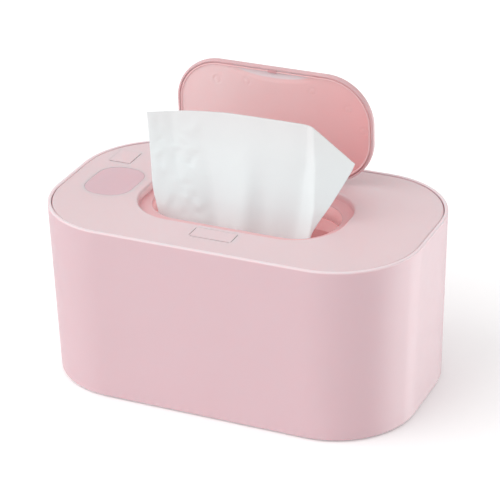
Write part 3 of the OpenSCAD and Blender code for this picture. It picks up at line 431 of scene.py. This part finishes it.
def inletPatch(grid, rowLow, rowHigh, column):
    # The back panel between two rows, with the inlet's stadium-shaped hole cut in it. The panel
    # leans, so y follows z by one slope. The hole's ends stay just short of half circles, so that
    # no two of its points meet
    corners = grid[[rowLow, rowLow, rowHigh, rowHigh], [column, column + 1, column + 1, column]]
    hole = roundRing(housing["inletWide"], housing["inletHigh"], housing["inletHigh"] / 2 - 0.01, 8)
    hole = hole + (housing["inletX"], housing["inletZ"])
    flat, tris = flatFill(corners[:, [0, 2]], [hole])
    slope = (corners[2, 1] - corners[0, 1]) / (corners[2, 2] - corners[0, 2])

    def onPanel(points):
        y = corners[0, 1] + slope * (points[:, 1] - corners[0, 2])
        return np.column_stack([points[:, 0], y, points[:, 1]])

    return (onPanel(flat), tris), onPanel(hole)


def casingSkin():
    # The wall's section in the (inset, height) plane, carried round the housing and closed
    low, high = housing["inletRows"]
    wall, edge, lip = housing["caseWall"], housing["edge"], housing["lip"]
    base, baseTop = housing["baseInset"], housing["baseTop"]
    rim, shelf = housing["rimWall"], housing["shelf"]
    bottom, top = housing["stand"], rimZ
    path = [(wall, baseTop), (base, baseTop), (base, bottom + lip)]
    path += arc((base - lip, bottom + lip), lip, 0, -90, 3)[1:]
    path += arc((edge, bottom + edge), edge, -90, -180, 8)
    outerRow = len(path)
    path += [(0, z) for z in (low, high, *housing["midRows"])]
    path += arc((edge, top - edge), edge, 180, 90, 8)
    path += arc((rim - lip, top - lip), lip, 90, 0, 4)
    path += [(rim, shelf), (wall, shelf)]
    innerRow = len(path)
    path += [(wall, high), (wall, low)]
    grid = np.array([housingRing(inset, z) for inset, z in path])
    points, quads = skin(grid, closed=True)
    cols = grid.shape[1]
    column = cols // 4 - 1
    dropped = {outerRow * cols + column, innerRow * cols + column}
    quads = [q for i, q in enumerate(quads) if i not in dropped]
    outerPatch, outerHole = inletPatch(grid, outerRow, outerRow + 1, column)
    innerPatch, innerHole = inletPatch(grid, innerRow + 1, innerRow, column)
    return [(points, quads), outerPatch, innerPatch, skin([outerHole, innerHole])]


evenNormals(makePiece("casing_skin", casingSkin(), finishes["casing"], "housing",
                      ["outer_casing"]))

deck = dict(z=94.0, edge=2.2, edgeRound=0.8, skirtLow=79.2, skirtMid=86, wall=1.6, holeSoft=0.3,
            seatLength=110.6, seatDepth=60.8, seatCorner=26.0, seatY=-1.0, seatRound=1.2,
            ledgeZ=89.9, foot=0.5, mouthLength=100.0, mouthDepth=44.0, mouthCorner=21.0,
            mouthRound=0.5, mouthMid=86, mouthLow=81.4, notchX=25.0, notchHalf=3.1, notchBack=29.3)
button = dict(y=-39.3, length=22.0, depth=9.5, gap=0.4, corner=1.3, low=92.0, round=0.3, dish=0.12)
key = dict(x=-82.6, y=28.2, length=12.5, depth=14.5, gap=0.3, corner=1.2, top=94.2, low=91.8,
           round=0.3, dish=0.15)
window = dict(x=-74.0, y=-1.0, length=26.0, depth=34.0, corner=11.0, soft=0.08, sink=0.05,
              thick=1.2, round=0.1, gap=0.02)


def seatRing(grow, z):
    # The seat's rounded rectangle at height z, grown on all sides
    ring = roundRing(deck["seatLength"] + 2 * grow, deck["seatDepth"] + 2 * grow,
                     deck["seatCorner"] + grow, middleY=deck["seatY"])
    return atHeight(ring, z)


def mouthRing(grow, z):
    # The mouth's rounded rectangle, with a notch for each hinge arm let into its rear side
    ring = roundRing(deck["mouthLength"] + 2 * grow, deck["mouthDepth"] + 2 * grow,
                     deck["mouthCorner"] + grow)
    rear = deck["mouthDepth"] / 2 + grow
    half, back = deck["notchHalf"] + grow, deck["notchBack"]
    notches = [(side * deck["notchX"] + x, y) for side in (1, -1)
               for x, y in ((half, rear), (half, back), (-half, back), (-half, rear))]
    cut = len(ring) // 4
    return atHeight(np.vstack([ring[:cut], notches, ring[cut:]]), z)


def holeRing(piece, grow):
    # The flat ring round a button, key or window, grown on all sides
    ring = roundRing(piece["length"] + 2 * grow, piece["depth"] + 2 * grow, piece["corner"] + grow, 8)
    return ring + (piece.get("x", 0), piece["y"])


def coverSkin():
    # Skirt, deck, seat, ledge and mouth. Each soft edge between them is a quarter arc of
    # (growth, height) on the ring that it follows
    z, ledgeZ = deck["z"], deck["ledgeZ"]
    outer, edge = deck["edge"], deck["edgeRound"]
    brow, foot, lip = deck["seatRound"], deck["foot"], deck["mouthRound"]
    skirt = [housingRing(outer, h) for h in (deck["skirtLow"], deck["skirtMid"])]
    skirt += [housingRing(i, h) for i, h in arc((outer + edge, z - edge), edge, 180, 90, 8)]
    seat = [seatRing(-i, h) for i, h in arc((-brow, z - brow), brow, 90, 0, 8)]
    seat += [seatRing(-i, h) for i, h in arc((foot, ledgeZ + foot), foot, 180, 270, 4)]
    mouth = [mouthRing(g, h) for g, h in arc((lip, ledgeZ - lip), lip, 90, 180, 5)]
    holes, walls = [], []
    for piece, grow in ((button, button["gap"]), (key, 0.0), (window, 0.0)):
        soft = piece.get("soft", deck["holeSoft"])
        rings = [atHeight(holeRing(piece, grow - i), h)
                 for i, h in arc((-soft, z - soft), soft, 90, 0, 3)]
        holes.append(rings[0][:, :2])
        walls.append(skin(rings))
    top = capAt(z, skirt[-1][:, :2], [seat[0][:, :2], *holes])
    ledge = capAt(ledgeZ, seat[-1][:, :2], [mouth[0][:, :2]])
    return [skin(skirt), top, *walls, skin(seat), ledge, skin(mouth)]


def mouthWallSkin():
    # The mouth's own ring, carried straight down from the soft edge of the ledge
    heights = (deck["ledgeZ"] - deck["mouthRound"], deck["mouthMid"], deck["mouthLow"])
    return [skin([mouthRing(0, z) for z in heights])]


cover = makePiece("cover_skin", coverSkin(), finishes["cover"], "cover", ["top_cover"])
mouthWall = makePiece("mouth_wall", mouthWallSkin(), finishes["tub"], "cover")
for walled, side in ((cover, -1), (mouthWall, 1)):
    thickness = walled.modifiers.new("wall", "SOLIDIFY")
    thickness.thickness = deck["wall"] * mm
    thickness.offset = side
evenNormals(cover)


def softCap(piece, top, low, spacing=0.9):
    # A cap with a rounded upper edge; its top sinks by dish * (1 - (x/a)^2) * (1 - (y/b)^2)
    gap, r = piece["gap"], piece["round"]
    a, b = piece["length"] / 2 - gap, piece["depth"] / 2 - gap

    def ring(inset, z):
        return atHeight(roundRing(2 * (a - inset), 2 * (b - inset), piece["corner"] - inset, 8), z)

    rings = [ring(0, low)]
    rings += [ring(i, h) for i, h in arc((r, top - r), r, 180, 90, 5)]
    field, tris = flatFill(rings[-1][:, :2], (), spacing)
    bowl = (np.clip(1 - (field[:, 0] / (a - r)) ** 2, 0, 1)
            * np.clip(1 - (field[:, 1] / (b - r)) ** 2, 0, 1))
    face = np.column_stack([field, top - piece.get("dish", 0) * bowl])
    shells = [skin(rings), (face, tris), capAt(low, rings[0][:, :2])]
    return [(p + (piece.get("x", 0), piece["y"], 0), f) for p, f in shells]


makePiece("press_button", softCap(dict(button, gap=0.0), deck["z"], button["low"]), finishes["cover"],
          "button")
makePiece("power_key_cap", softCap(key, key["top"], key["low"]), finishes["cover"], "key")
windowTop = deck["z"] - window["sink"]
makePiece("status_window", softCap(window, windowTop, windowTop - window["thick"]), finishes["window"],
          "cover", ["touch_window"])
print("housing and cover made")

lid = dict(angle=88, pinY=35.1, pinZ=88.1, relief=9.0, length=108.8, depth=59.0, corner=25.1,
           y=-1.0, top=94.0, low=90.4, inner=92.6, rim=1.1, round=1.7, chamfer=1.0,
           chamferFrom=-84, topStep=4, linerGap=1.5, linerFit=0.05, linerStep=91.5, linerZ=91.0,
           linerRound=0.4, faceStep=0.7)


def lidRing(inset, z, steps=28):
    # The shut lid's rounded rectangle at height z, drawn in on all sides
    ring = roundRing(lid["length"] - 2 * inset, lid["depth"] - 2 * inset, lid["corner"] - inset, steps,
                     lid["y"])
    return atHeight(ring, z)


def relieved(points):
    # Nothing of the lid comes nearer to the pin than the relief radius: y is held to
    # pinY - sqrt(r^2 - dz^2)
    reach = np.sqrt(np.maximum(lid["relief"] ** 2 - (points[:, 2] - lid["pinZ"]) ** 2, 0))
    points = points.copy()
    points[:, 1] = np.minimum(points[:, 1], lid["pinY"] - reach)
    return points


def liftedRim(rings):
    # Where the relief reaches the rim's inner wall, the rim ends there: z is at least
    # pinZ + sqrt(r^2 - dy^2)
    rings = np.array(rings)
    away = lid["pinY"] - rings[0][:, 1]
    ends = lid["pinZ"] + np.sqrt(np.maximum(lid["relief"] ** 2 - away ** 2, 0))
    near = np.hypot(lid["pinY"] - rings[..., 1], rings[..., 2] - lid["pinZ"]) < lid["relief"]
    lifted = np.maximum(rings[..., 2], ends)
    rings[..., 2] = np.where(near & (away < lid["relief"]), lifted, rings[..., 2])
    return rings


def openLid(shells):
    # Keeps shells that are drawn shut clear of the pin, and swings them open
    return [(swungOpen(relieved(points), lid), faces) for points, faces in shells]


def lidShellSkin():
    # Rim and outer edge as arcs of (inset, height) on the lid's rings, drawn shut and swung open
    chamfer, edge, top = lid["chamfer"], lid["round"], lid["top"]
    path = [(lid["rim"], lid["inner"])]
    path += arc((chamfer, lid["low"] + chamfer), chamfer, lid["chamferFrom"], -180, 9)
    path += arc((edge, top - edge), edge, 180, 90, 10)
    rings = liftedRim([lidRing(i, z) for i, z in path])
    return openLid([skin(rings), capAt(top, rings[-1][:, :2], spacing=lid["topStep"]),
                    capAt(lid["inner"], rings[0][:, :2])])


marks = dict(spots=[(-31, -19.5), (-14.5, -21), (21.5, -20.5), (41, -13.5), (49, -2.5)], radius=1.9,
             depth=0.28, soft=0.35)
ramp = dict(half=27, deep=5.4, sink=1.1, y=-27.6, slitHalf=3.0, slitDeep=0.35, slitY=-26.6,
            slitSoft=0.45)


def linerRelief(x, y):
    # Height of the liner's face: a smile-shaped ramp that falls towards the free edge, a finger
    # slit, and round marks of the mould's ejector pins. The ramp's reach is
    # deep * (1 - (x / half)^2), and it falls in line with the way past its edge
    reach = ramp["deep"] * np.clip(1 - (x / ramp["half"]) ** 2, 0, 1)
    past = np.maximum(ramp["y"] + reach - y, 0)
    slit = (np.exp(-((y - ramp["slitY"]) / ramp["slitSoft"]) ** 4)
            * np.exp(-(x / ramp["slitHalf"]) ** 8))
    sink = ramp["sink"] * past / ramp["deep"] + ramp["slitDeep"] * slit
    for spotX, spotY in marks["spots"]:
        far = np.hypot(x - spotX, y - spotY)
        sink = sink + marks["depth"] * np.exp(-((far - marks["radius"]) / marks["soft"]) ** 2)
    return sink


def lidLinerSkin():
    # A stepped rim that fits into the shell, a soft edge, and a face with its relief
    r, faceZ, step = lid["linerRound"], lid["linerZ"], lid["linerStep"]
    rim, gap = lid["rim"] + lid["linerFit"], lid["linerGap"]
    path = [(rim, lid["inner"]), (rim, step), (gap, step)]
    path += arc((gap + r, faceZ + r), r, 180, 270, 5)
    rings = [lidRing(i, z) for i, z in path]
    flat, tris = flatFill(rings[-1][:, :2], (), lid["faceStep"])
    face = np.column_stack([flat, faceZ + linerRelief(flat[:, 0], flat[:, 1])])
    return openLid([skin(rings), (face, tris), capAt(lid["inner"], rings[0][:, :2])])


seal = dict(inset=0.1, wide=1.2, high=0.75, narrow=0.72, sink=0.1, rootShare=0.3, sides=16)


def sealSkin():
    # A half-round lip carried round the liner near its edge: (wide cos a, high sin a), cut off
    # below the root's share of its height
    wide = seal["wide"] / 2
    middle = lid["linerGap"] + seal["inset"] + wide
    root = lid["linerZ"] + seal["sink"]
    turn = np.radians(np.linspace(0, 360, seal["sides"] + 1)[:-1])
    path = [(middle + wide * seal["narrow"] * math.cos(a),
             root - seal["high"] * max(math.sin(a), -seal["rootShare"])) for a in turn]
    return openLid([skin([lidRing(i, z) for i, z in path], closed=True)])


# The catch's outline in the (y, z) plane: a low lug with a lip at its front
catch = dict(half=2.4, round=0.15, outline=[
    (-27.7, 92.4), (-27.7, 90.2), (-29.1, 90.2), (-29.35, 90.35), (-29.35, 90.6), (-28.6, 90.6),
    (-28.6, 92.4)])


def catchSkin():
    # The outline, drawn out to both sides of the middle
    ends = [np.array([(x, y, z) for y, z in catch["outline"]]) for x in (-catch["half"], catch["half"])]
    count = len(catch["outline"])
    points, walls = skin(ends)
    return [(swungOpen(points, lid),
             walls + [list(range(count)), list(range(2 * count - 1, count - 1, -1))])]


evenNormals(makePiece("lid_shell_skin", lidShellSkin(), finishes["lidShell"], "lid",
                      ["lid_shell"]))
makePiece("lid_liner_skin", lidLinerSkin(), finishes["liner"], "lid", ["lid_liner"])
makePiece("lid_seal_lip", sealSkin(), finishes["silicone"], "lid", ["lid_seal"])
lidCatch = makePiece("lid_catch", catchSkin(), finishes["catch"], "lid")
catchEdge = lidCatch.modifiers.new("soft_edges", "BEVEL")
catchEdge.width = catch["round"] * mm
catchEdge.segments = 2
print("lid made")

# The wipe as it is seen, in the upright plane at y: its outline in (x, z), its lean to the back, and
# the way that the line of sight runs, per millimetre of depth
sheetLook = dict(
    rows=170, cols=220, y=-8.0, thick=0.45, lean=2.5, sightX=0.459, sightZ=0.5535,
    left=[(-42, 56.4), (-45.3, 82.7), (-46.9, 90.9), (-48.2, 98.5), (-48.7, 116.3), (-49.7, 139.2)],
    right=[(30, 56.4), (39.1, 87.3), (49.5, 104.8), (58.3, 120.4), (61.1, 125.6), (62.5, 129.4)],
    top=[(-49.7, 139.2), (-29, 143.4), (-6, 145.6), (19.2, 145.9), (35.6, 145.9), (40.3, 144.8),
         (51.2, 137.3), (62.5, 129.4)])
# Creases from left to right: each one's x, and how far it stands forward, at the heights in
# creaseHeights. A valley stands back, and the last one is the sheet's right edge, which leans back
# beyond the main fold. With ease 1 the slope to the next crease starts at nothing and grows, with -1
# it starts steep and fades
creaseHeights = (56, 84, 101, 125, 146)
creases = [
    dict(x=(-42, -45.6, -48.3, -48.9, -50), forward=(1.6, 2.0, 2.3, 2.4, 2.2), ease=0.2),
    dict(x=(-29, -31, -33, -35.5, -36.5), forward=(0.8, 0.9, 0.4, -0.5, -0.6), ease=0.9),
    dict(x=(-13, -13.8, -14.7, -18.8, -21), forward=(-2.0, -2.2, -2.0, -1.2, -0.3), ease=-0.5),
    dict(x=(1, 2.1, 3.8, 6.2, 7.0), forward=(1.6, 1.9, 1.7, 0.9, 0.4), ease=-0.3),
    dict(x=(11, 12, 13, 15, 18), forward=(-1.4, -1.6, -1.0, 0.3, 0.2), ease=0.0),
    dict(x=(17, 19, 21, 25, 28), forward=(-1.3, -1.4, -0.8, 0.1, 0.1), ease=0.0),
    dict(x=(24, 29, 32.3, 36.5, 37.5), forward=(-1.7, -2.0, -1.7, -0.9, -0.2), ease=0.6),
    dict(x=(29, 37.3, 40.2, 41, 40), forward=(1.4, 1.9, 2.2, 1.9, 1.2), ease=0.0),
    dict(x=(30, 39, 47, 61, 63), forward=(1.2, 1.2, 0.2, -4.0, -4.0), ease=0.0),
]
creaseSoft = dict(x=(-42, -36, -31, -25, 28, 37), width=(4.2, 1.6, 1.6, 4.2, 4.2, 0.8))
dents = dict(seed=11, radius=(1.6, 3.7), stretch=1.8, heights=(84, 140), fields=[
    dict(count=34, low=-46, high=-22, deep=0.24), dict(count=20, low=-22, high=52, deep=0.08)])


def along(points, share):
    # Point at a share of the way along a chain of points, measured by length: halfway between the
    # straight line and a Catmull-Rom curve
    chain = np.array(points, float)
    steps = np.concatenate([[0], np.cumsum(np.hypot(*np.diff(chain, axis=0).T))])
    at = share * steps[-1]
    i = np.clip(np.searchsorted(steps, at, side="right") - 1, 0, len(chain) - 2)
    t = ((at - steps[i]) / (steps[i + 1] - steps[i]))[..., None]
    before, after = chain[np.maximum(i - 1, 0)], chain[np.minimum(i + 2, len(chain) - 1)]
    a, b = chain[i], chain[i + 1]
    easy = 0.5 * (2 * a + (b - before) * t + (2 * before - 5 * a + 4 * b - after) * t ** 2
                  + (3 * a - before - 3 * b + after) * t ** 3)
    return 0.5 * easy + 0.5 * (a + (b - a) * t)


def creaseRelief(x, z):
    # From one crease to the next, the way forward is shared out by t + ease * (t^2 - t)
    lines = [(np.interp(z, creaseHeights, crease["x"]), np.interp(z, creaseHeights, crease["forward"]),
              crease["ease"]) for crease in creases]
    total = lines[0][1].copy()
    for (x0, h0, ease), (x1, h1, _) in zip(lines, lines[1:]):
        t = np.clip((x - x0) / np.maximum(x1 - x0, 0.5), 0, 1)
        total += (h1 - h0) * (t + ease * (t * t - t))
    return total


def foldRelief(x, z):
    # The creases are averaged over a soft width, with weight 1 - (offset / width)^2. The main fold
    # and the one in the left third are the sharpest
    width = np.interp(x, creaseSoft["x"], creaseSoft["width"])
    offsets = np.linspace(-0.9, 0.9, 13)
    weights = 1 - offsets ** 2
    total = sum(w * creaseRelief(x + o * width, z) for o, w in zip(offsets, weights))
    return total / weights.sum() + dentRelief(x, z)


def dentRelief(x, z):
    # Small crumples, each deep * exp(-(distance / radius)^2) with one axis stretched, more of them
    # in the left third
    rng = np.random.default_rng(dents["seed"])
    total = np.zeros_like(x)
    for field in dents["fields"]:
        for _ in range(field["count"]):
            atX, atZ = rng.uniform(field["low"], field["high"]), rng.uniform(*dents["heights"])
            turn = rng.uniform(0, math.pi)
            radius, sign = rng.uniform(*dents["radius"]), rng.choice((-1.0, 1.0))
            length = (x - atX) * math.cos(turn) + (z - atZ) * math.sin(turn)
            across = (z - atZ) * math.cos(turn) - (x - atX) * math.sin(turn)
            longRadius = dents["stretch"] * radius
            total += sign * field["deep"] * np.exp(-(length / longRadius) ** 2 - (across / radius) ** 2)
    return total


def sheetSurface():
    # Coons patch over the wipe's four edges, u across and v up, then pushed back along the line of
    # sight by depth = lean * v^2 - folds, so that the outline stays where it is seen
    u, v = np.meshgrid(np.linspace(0, 1, sheetLook["cols"]), np.linspace(0, 1, sheetLook["rows"]))
    left, right, top = along(sheetLook["left"], v), along(sheetLook["right"], v), along(sheetLook["top"], u)
    lowLeft, highLeft = (np.array(sheetLook["left"][end], float) for end in (0, -1))
    lowRight, highRight = (np.array(sheetLook["right"][end], float) for end in (0, -1))
    u1, v1 = u[..., None], v[..., None]
    foot = lowLeft + (lowRight - lowLeft) * u1
    corners = ((1 - u1) * (1 - v1) * lowLeft + u1 * (1 - v1) * lowRight + (1 - u1) * v1 * highLeft
               + u1 * v1 * highRight)
    flat = (1 - u1) * left + u1 * right + (1 - v1) * foot + v1 * top - corners
    x, z = flat[..., 0], flat[..., 1]
    depth = sheetLook["lean"] * v ** 2 - foldRelief(x, z)
    return np.stack([x - sheetLook["sightX"] * depth, sheetLook["y"] + depth,
                     z - sheetLook["sightZ"] * depth], -1)


def sheetShell():
    # The surface's grid as quads. Its wall comes from the cloth's Solidify
    grid = sheetSurface()
    rows, cols = grid.shape[:2]
    index = np.arange(rows * cols).reshape(rows, cols)
    quads = np.stack([index[:-1, :-1], index[:-1, 1:], index[1:, 1:], index[1:, :-1]], -1).reshape(-1, 4)
    return [(grid.reshape(-1, 3), quads.tolist())]


wipe = makePiece("standing_wipe", sheetShell(), finishes["wipe"], "cover",
                 ["wipe_sheet"], sharp=180)
cloth = wipe.modifiers.new("cloth", "SOLIDIFY")
cloth.thickness = sheetLook["thick"] * mm
cloth.offset = 0
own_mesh(wipe)

stackLook = dict(length=140.0, depth=84.0, low=24.0, high=56.0, layers=10, corner=4.0, bulge=0.8,
                 margin=0.4, sag=0.48, samples=6, topStep=3)


def stackSkin():
    # Folded layers: the inset follows bulge * (1 - |sin|) of the height, so each fold rounds
    # outwards, and the top sags by sag * cos(pi x / length) * cos(pi y / depth)
    length, depth, high = stackLook["length"], stackLook["depth"], stackLook["high"]
    t = np.linspace(0, 1, stackLook["layers"] * stackLook["samples"] + 1)
    waist = 1 - np.abs(np.sin(np.pi * t * stackLook["layers"]))
    inset = stackLook["bulge"] * waist + stackLook["margin"]
    heights = stackLook["low"] + t * (high - stackLook["low"])
    rings = [atHeight(roundRing(length - 2 * i, depth - 2 * i, stackLook["corner"], 6), z)
             for i, z in zip(inset, heights)]
    flat, tris = flatFill(rings[-1][:, :2], (), stackLook["topStep"])
    sag = stackLook["sag"] * np.cos(np.pi * flat[:, 0] / length) * np.cos(np.pi * flat[:, 1] / depth)
    return [skin(rings), (np.column_stack([flat, high - np.maximum(sag, 0)]), tris),
            capAt(stackLook["low"], rings[0][:, :2])]


stack = makePiece("folded_wipes", stackSkin(), finishes["wipe"], "housing",
                  ["wipe_stack"], sharp=60)
print("wipes made")

coil = dict(fromY=-47.3, toY=-42.68, z=89.68, radius=0.78, wire=0.2, turns=5, around=22, sides=8, travel=1.1)


def coilSkin():
    # Helix (r cos a, y, r sin a) with y in line with a, and a round wire swept along it square to
    # its tangent
    radius, wire, sides = coil["radius"], coil["wire"], coil["sides"]
    t = np.linspace(0, 1, coil["turns"] * coil["around"] + 1)
    a = 2 * np.pi * coil["turns"] * t
    run = coil["toY"] - coil["fromY"] - 2 * wire
    out = np.stack([np.cos(a), np.zeros_like(a), np.sin(a)], 1)
    middle = out * radius + np.stack([0 * a, coil["fromY"] + wire + run * t, 0 * a + coil["z"]], 1)
    pitch = run / (2 * np.pi * coil["turns"] * radius)
    tangent = np.stack([-np.sin(a), np.full_like(a, pitch), np.cos(a)], 1) / math.hypot(1, pitch)
    side = np.cross(tangent, out)
    turn = 2 * np.pi * np.arange(sides) / sides
    rings = [middle[i] + wire * (np.outer(np.cos(turn), out[i]) + np.outer(np.sin(turn), side[i]))
             for i in range(len(t))]
    points, walls = skin(rings)
    last = len(points) - sides
    return [(points, walls + [list(range(sides)), list(range(last + sides - 1, last - 1, -1))])]


returnSpring = makePiece("return_spring", coilSkin(), finishes["steel"], "cover", ["latch_spring"])
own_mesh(returnSpring)
print("return spring made")

# Which finish each solid keeps that has no piece of its own above
nodeFinish = {
    "casing": ["base_plate"], "tub": ["inner_tub", "cover_liner"], "liner": ["hinge_arms"],
    "steel": ["base_screws", "thermal_cutout", "board_screws", "power_inlet", "cover_screws", "hinge_pin",
              "torsion_springs", "hinge_screws"],
    "foot": ["rubber_feet"], "foam": ["insulation_pad", "insulation_wrap"], "film": ["heating_film"],
    "board": ["main_board", "display_board"], "brass": ["contact_pads", "contact_pins"],
    "black": ["temperature_sensor", "board_parts", "led_module", "tact_switch", "switch_plunger"],
    "white": ["latch_slider"], "cover": ["latch_button", "power_key"],
}
for finish, names in nodeFinish.items():
    for name in names:
        mesh = nodes[name].data
        mesh.materials.clear()
        mesh.materials.append(finishes[finish])
        mesh.polygons.foreach_set("material_index", np.zeros(len(mesh.polygons), np.int32))

# Soft boxes: where the light comes from, its strength, how wide it is seen, and whether only gloss shows it
softBoxes = {
    "left_softbox": dict(comesFrom=(-0.62, -0.62, 0.75), strength=0.92, wide=60, glossOnly=False),
    "side_softbox": dict(comesFrom=(-0.9, -0.35, 0.7), strength=0.2, wide=40, glossOnly=False),
    "top_softbox": dict(comesFrom=(0.0, -0.2, 1.0), strength=0.33, wide=80, glossOnly=False),
    "back_sheen": dict(comesFrom=(-0.37, 0.81, 0.45), strength=0.3, wide=80, glossOnly=True),
    "right_floor_sheen": dict(comesFrom=(0.73, 0.51, -0.45), strength=3.2, wide=70, glossOnly=True),
    "front_floor_sheen": dict(comesFrom=(-0.62, -0.64, -0.45), strength=1.5, wide=100, glossOnly=True),
}
stage = dict(floorHalf=6.0, world=0.68, glow=0.14)


def makeStage():
    # A pale floor, wide enough to reach past the picture, which gives off a little light
    mesh = bpy.data.meshes.new("floor")
    w = stage["floorHalf"]
    mesh.from_pydata([(-w, -w, 0), (w, -w, 0), (w, w, 0), (-w, w, 0)], [], [(0, 1, 2, 3)])
    material, tree, shader, place = startFinish("pale_floor", {
        "Roughness": 0.9, "Specular IOR Level": 0.1, "Emission Color": (1, 1, 1, 1),
        "Emission Strength": stage["glow"]})
    tree.links.new(blendOf(tree, rangeOf(tree, noiseFrom(tree, place, 3), 0, 1), (0.975, 0.975, 0.975),
                           (0.965, 0.965, 0.965)), shader.inputs["Base Color"])
    mesh.materials.append(material)
    floor = bpy.data.objects.new("floor", mesh)
    bpy.context.scene.collection.objects.link(floor)


def softLight(name, comesFrom, strength, wide, glossOnly):
    # A distant soft box: the wider its angle, the softer the shadows. One from below stands for the
    # pale floor's own reflection, so the floor doesn't stop it
    data = bpy.data.lights.new(name, "SUN")
    data.energy = strength
    data.angle = math.radians(wide)
    lamp = bpy.data.objects.new(name, data)
    bpy.context.scene.collection.objects.link(lamp)
    lamp.rotation_euler = (-Vector(comesFrom)).to_track_quat("-Z", "Y").to_euler()
    lamp.visible_diffuse = not glossOnly
    data.use_shadow = comesFrom[2] > 0


def makeLight():
    for name, box in softBoxes.items():
        softLight(name, **box)
    world = bpy.data.worlds.new("studio")
    world.use_nodes = True
    world.node_tree.nodes["Background"].inputs["Color"].default_value = (1, 1, 1, 1)
    world.node_tree.nodes["Background"].inputs["Strength"].default_value = stage["world"]
    bpy.context.scene.world = world
    bpy.context.scene.view_settings.view_transform = "Standard"


# The camera, worked out from the housing's outline: its place, and the directions of its right side,
# its top and its back
view = dict(place=(0.42105, -0.91434, 0.57360), right=(0.91328, 0.40672, -0.02239),
            up=(-0.16461, 0.41879, 0.89304), back=(0.37260, -0.81190, 0.44942), lens=159.16, sensor=36)


def makeCamera():
    data = bpy.data.cameras.new("photo_camera")
    data.lens = view["lens"]
    data.sensor_width = view["sensor"]
    camera = bpy.data.objects.new("photo_camera", data)
    bpy.context.scene.collection.objects.link(camera)
    turn = Matrix((view["right"], view["up"], view["back"])).transposed()
    camera.matrix_world = Matrix.Translation(view["place"]) @ turn.to_4x4()
    bpy.context.scene.camera = camera


makeStage()
makeLight()
makeCamera()
print("stage, light and camera made")
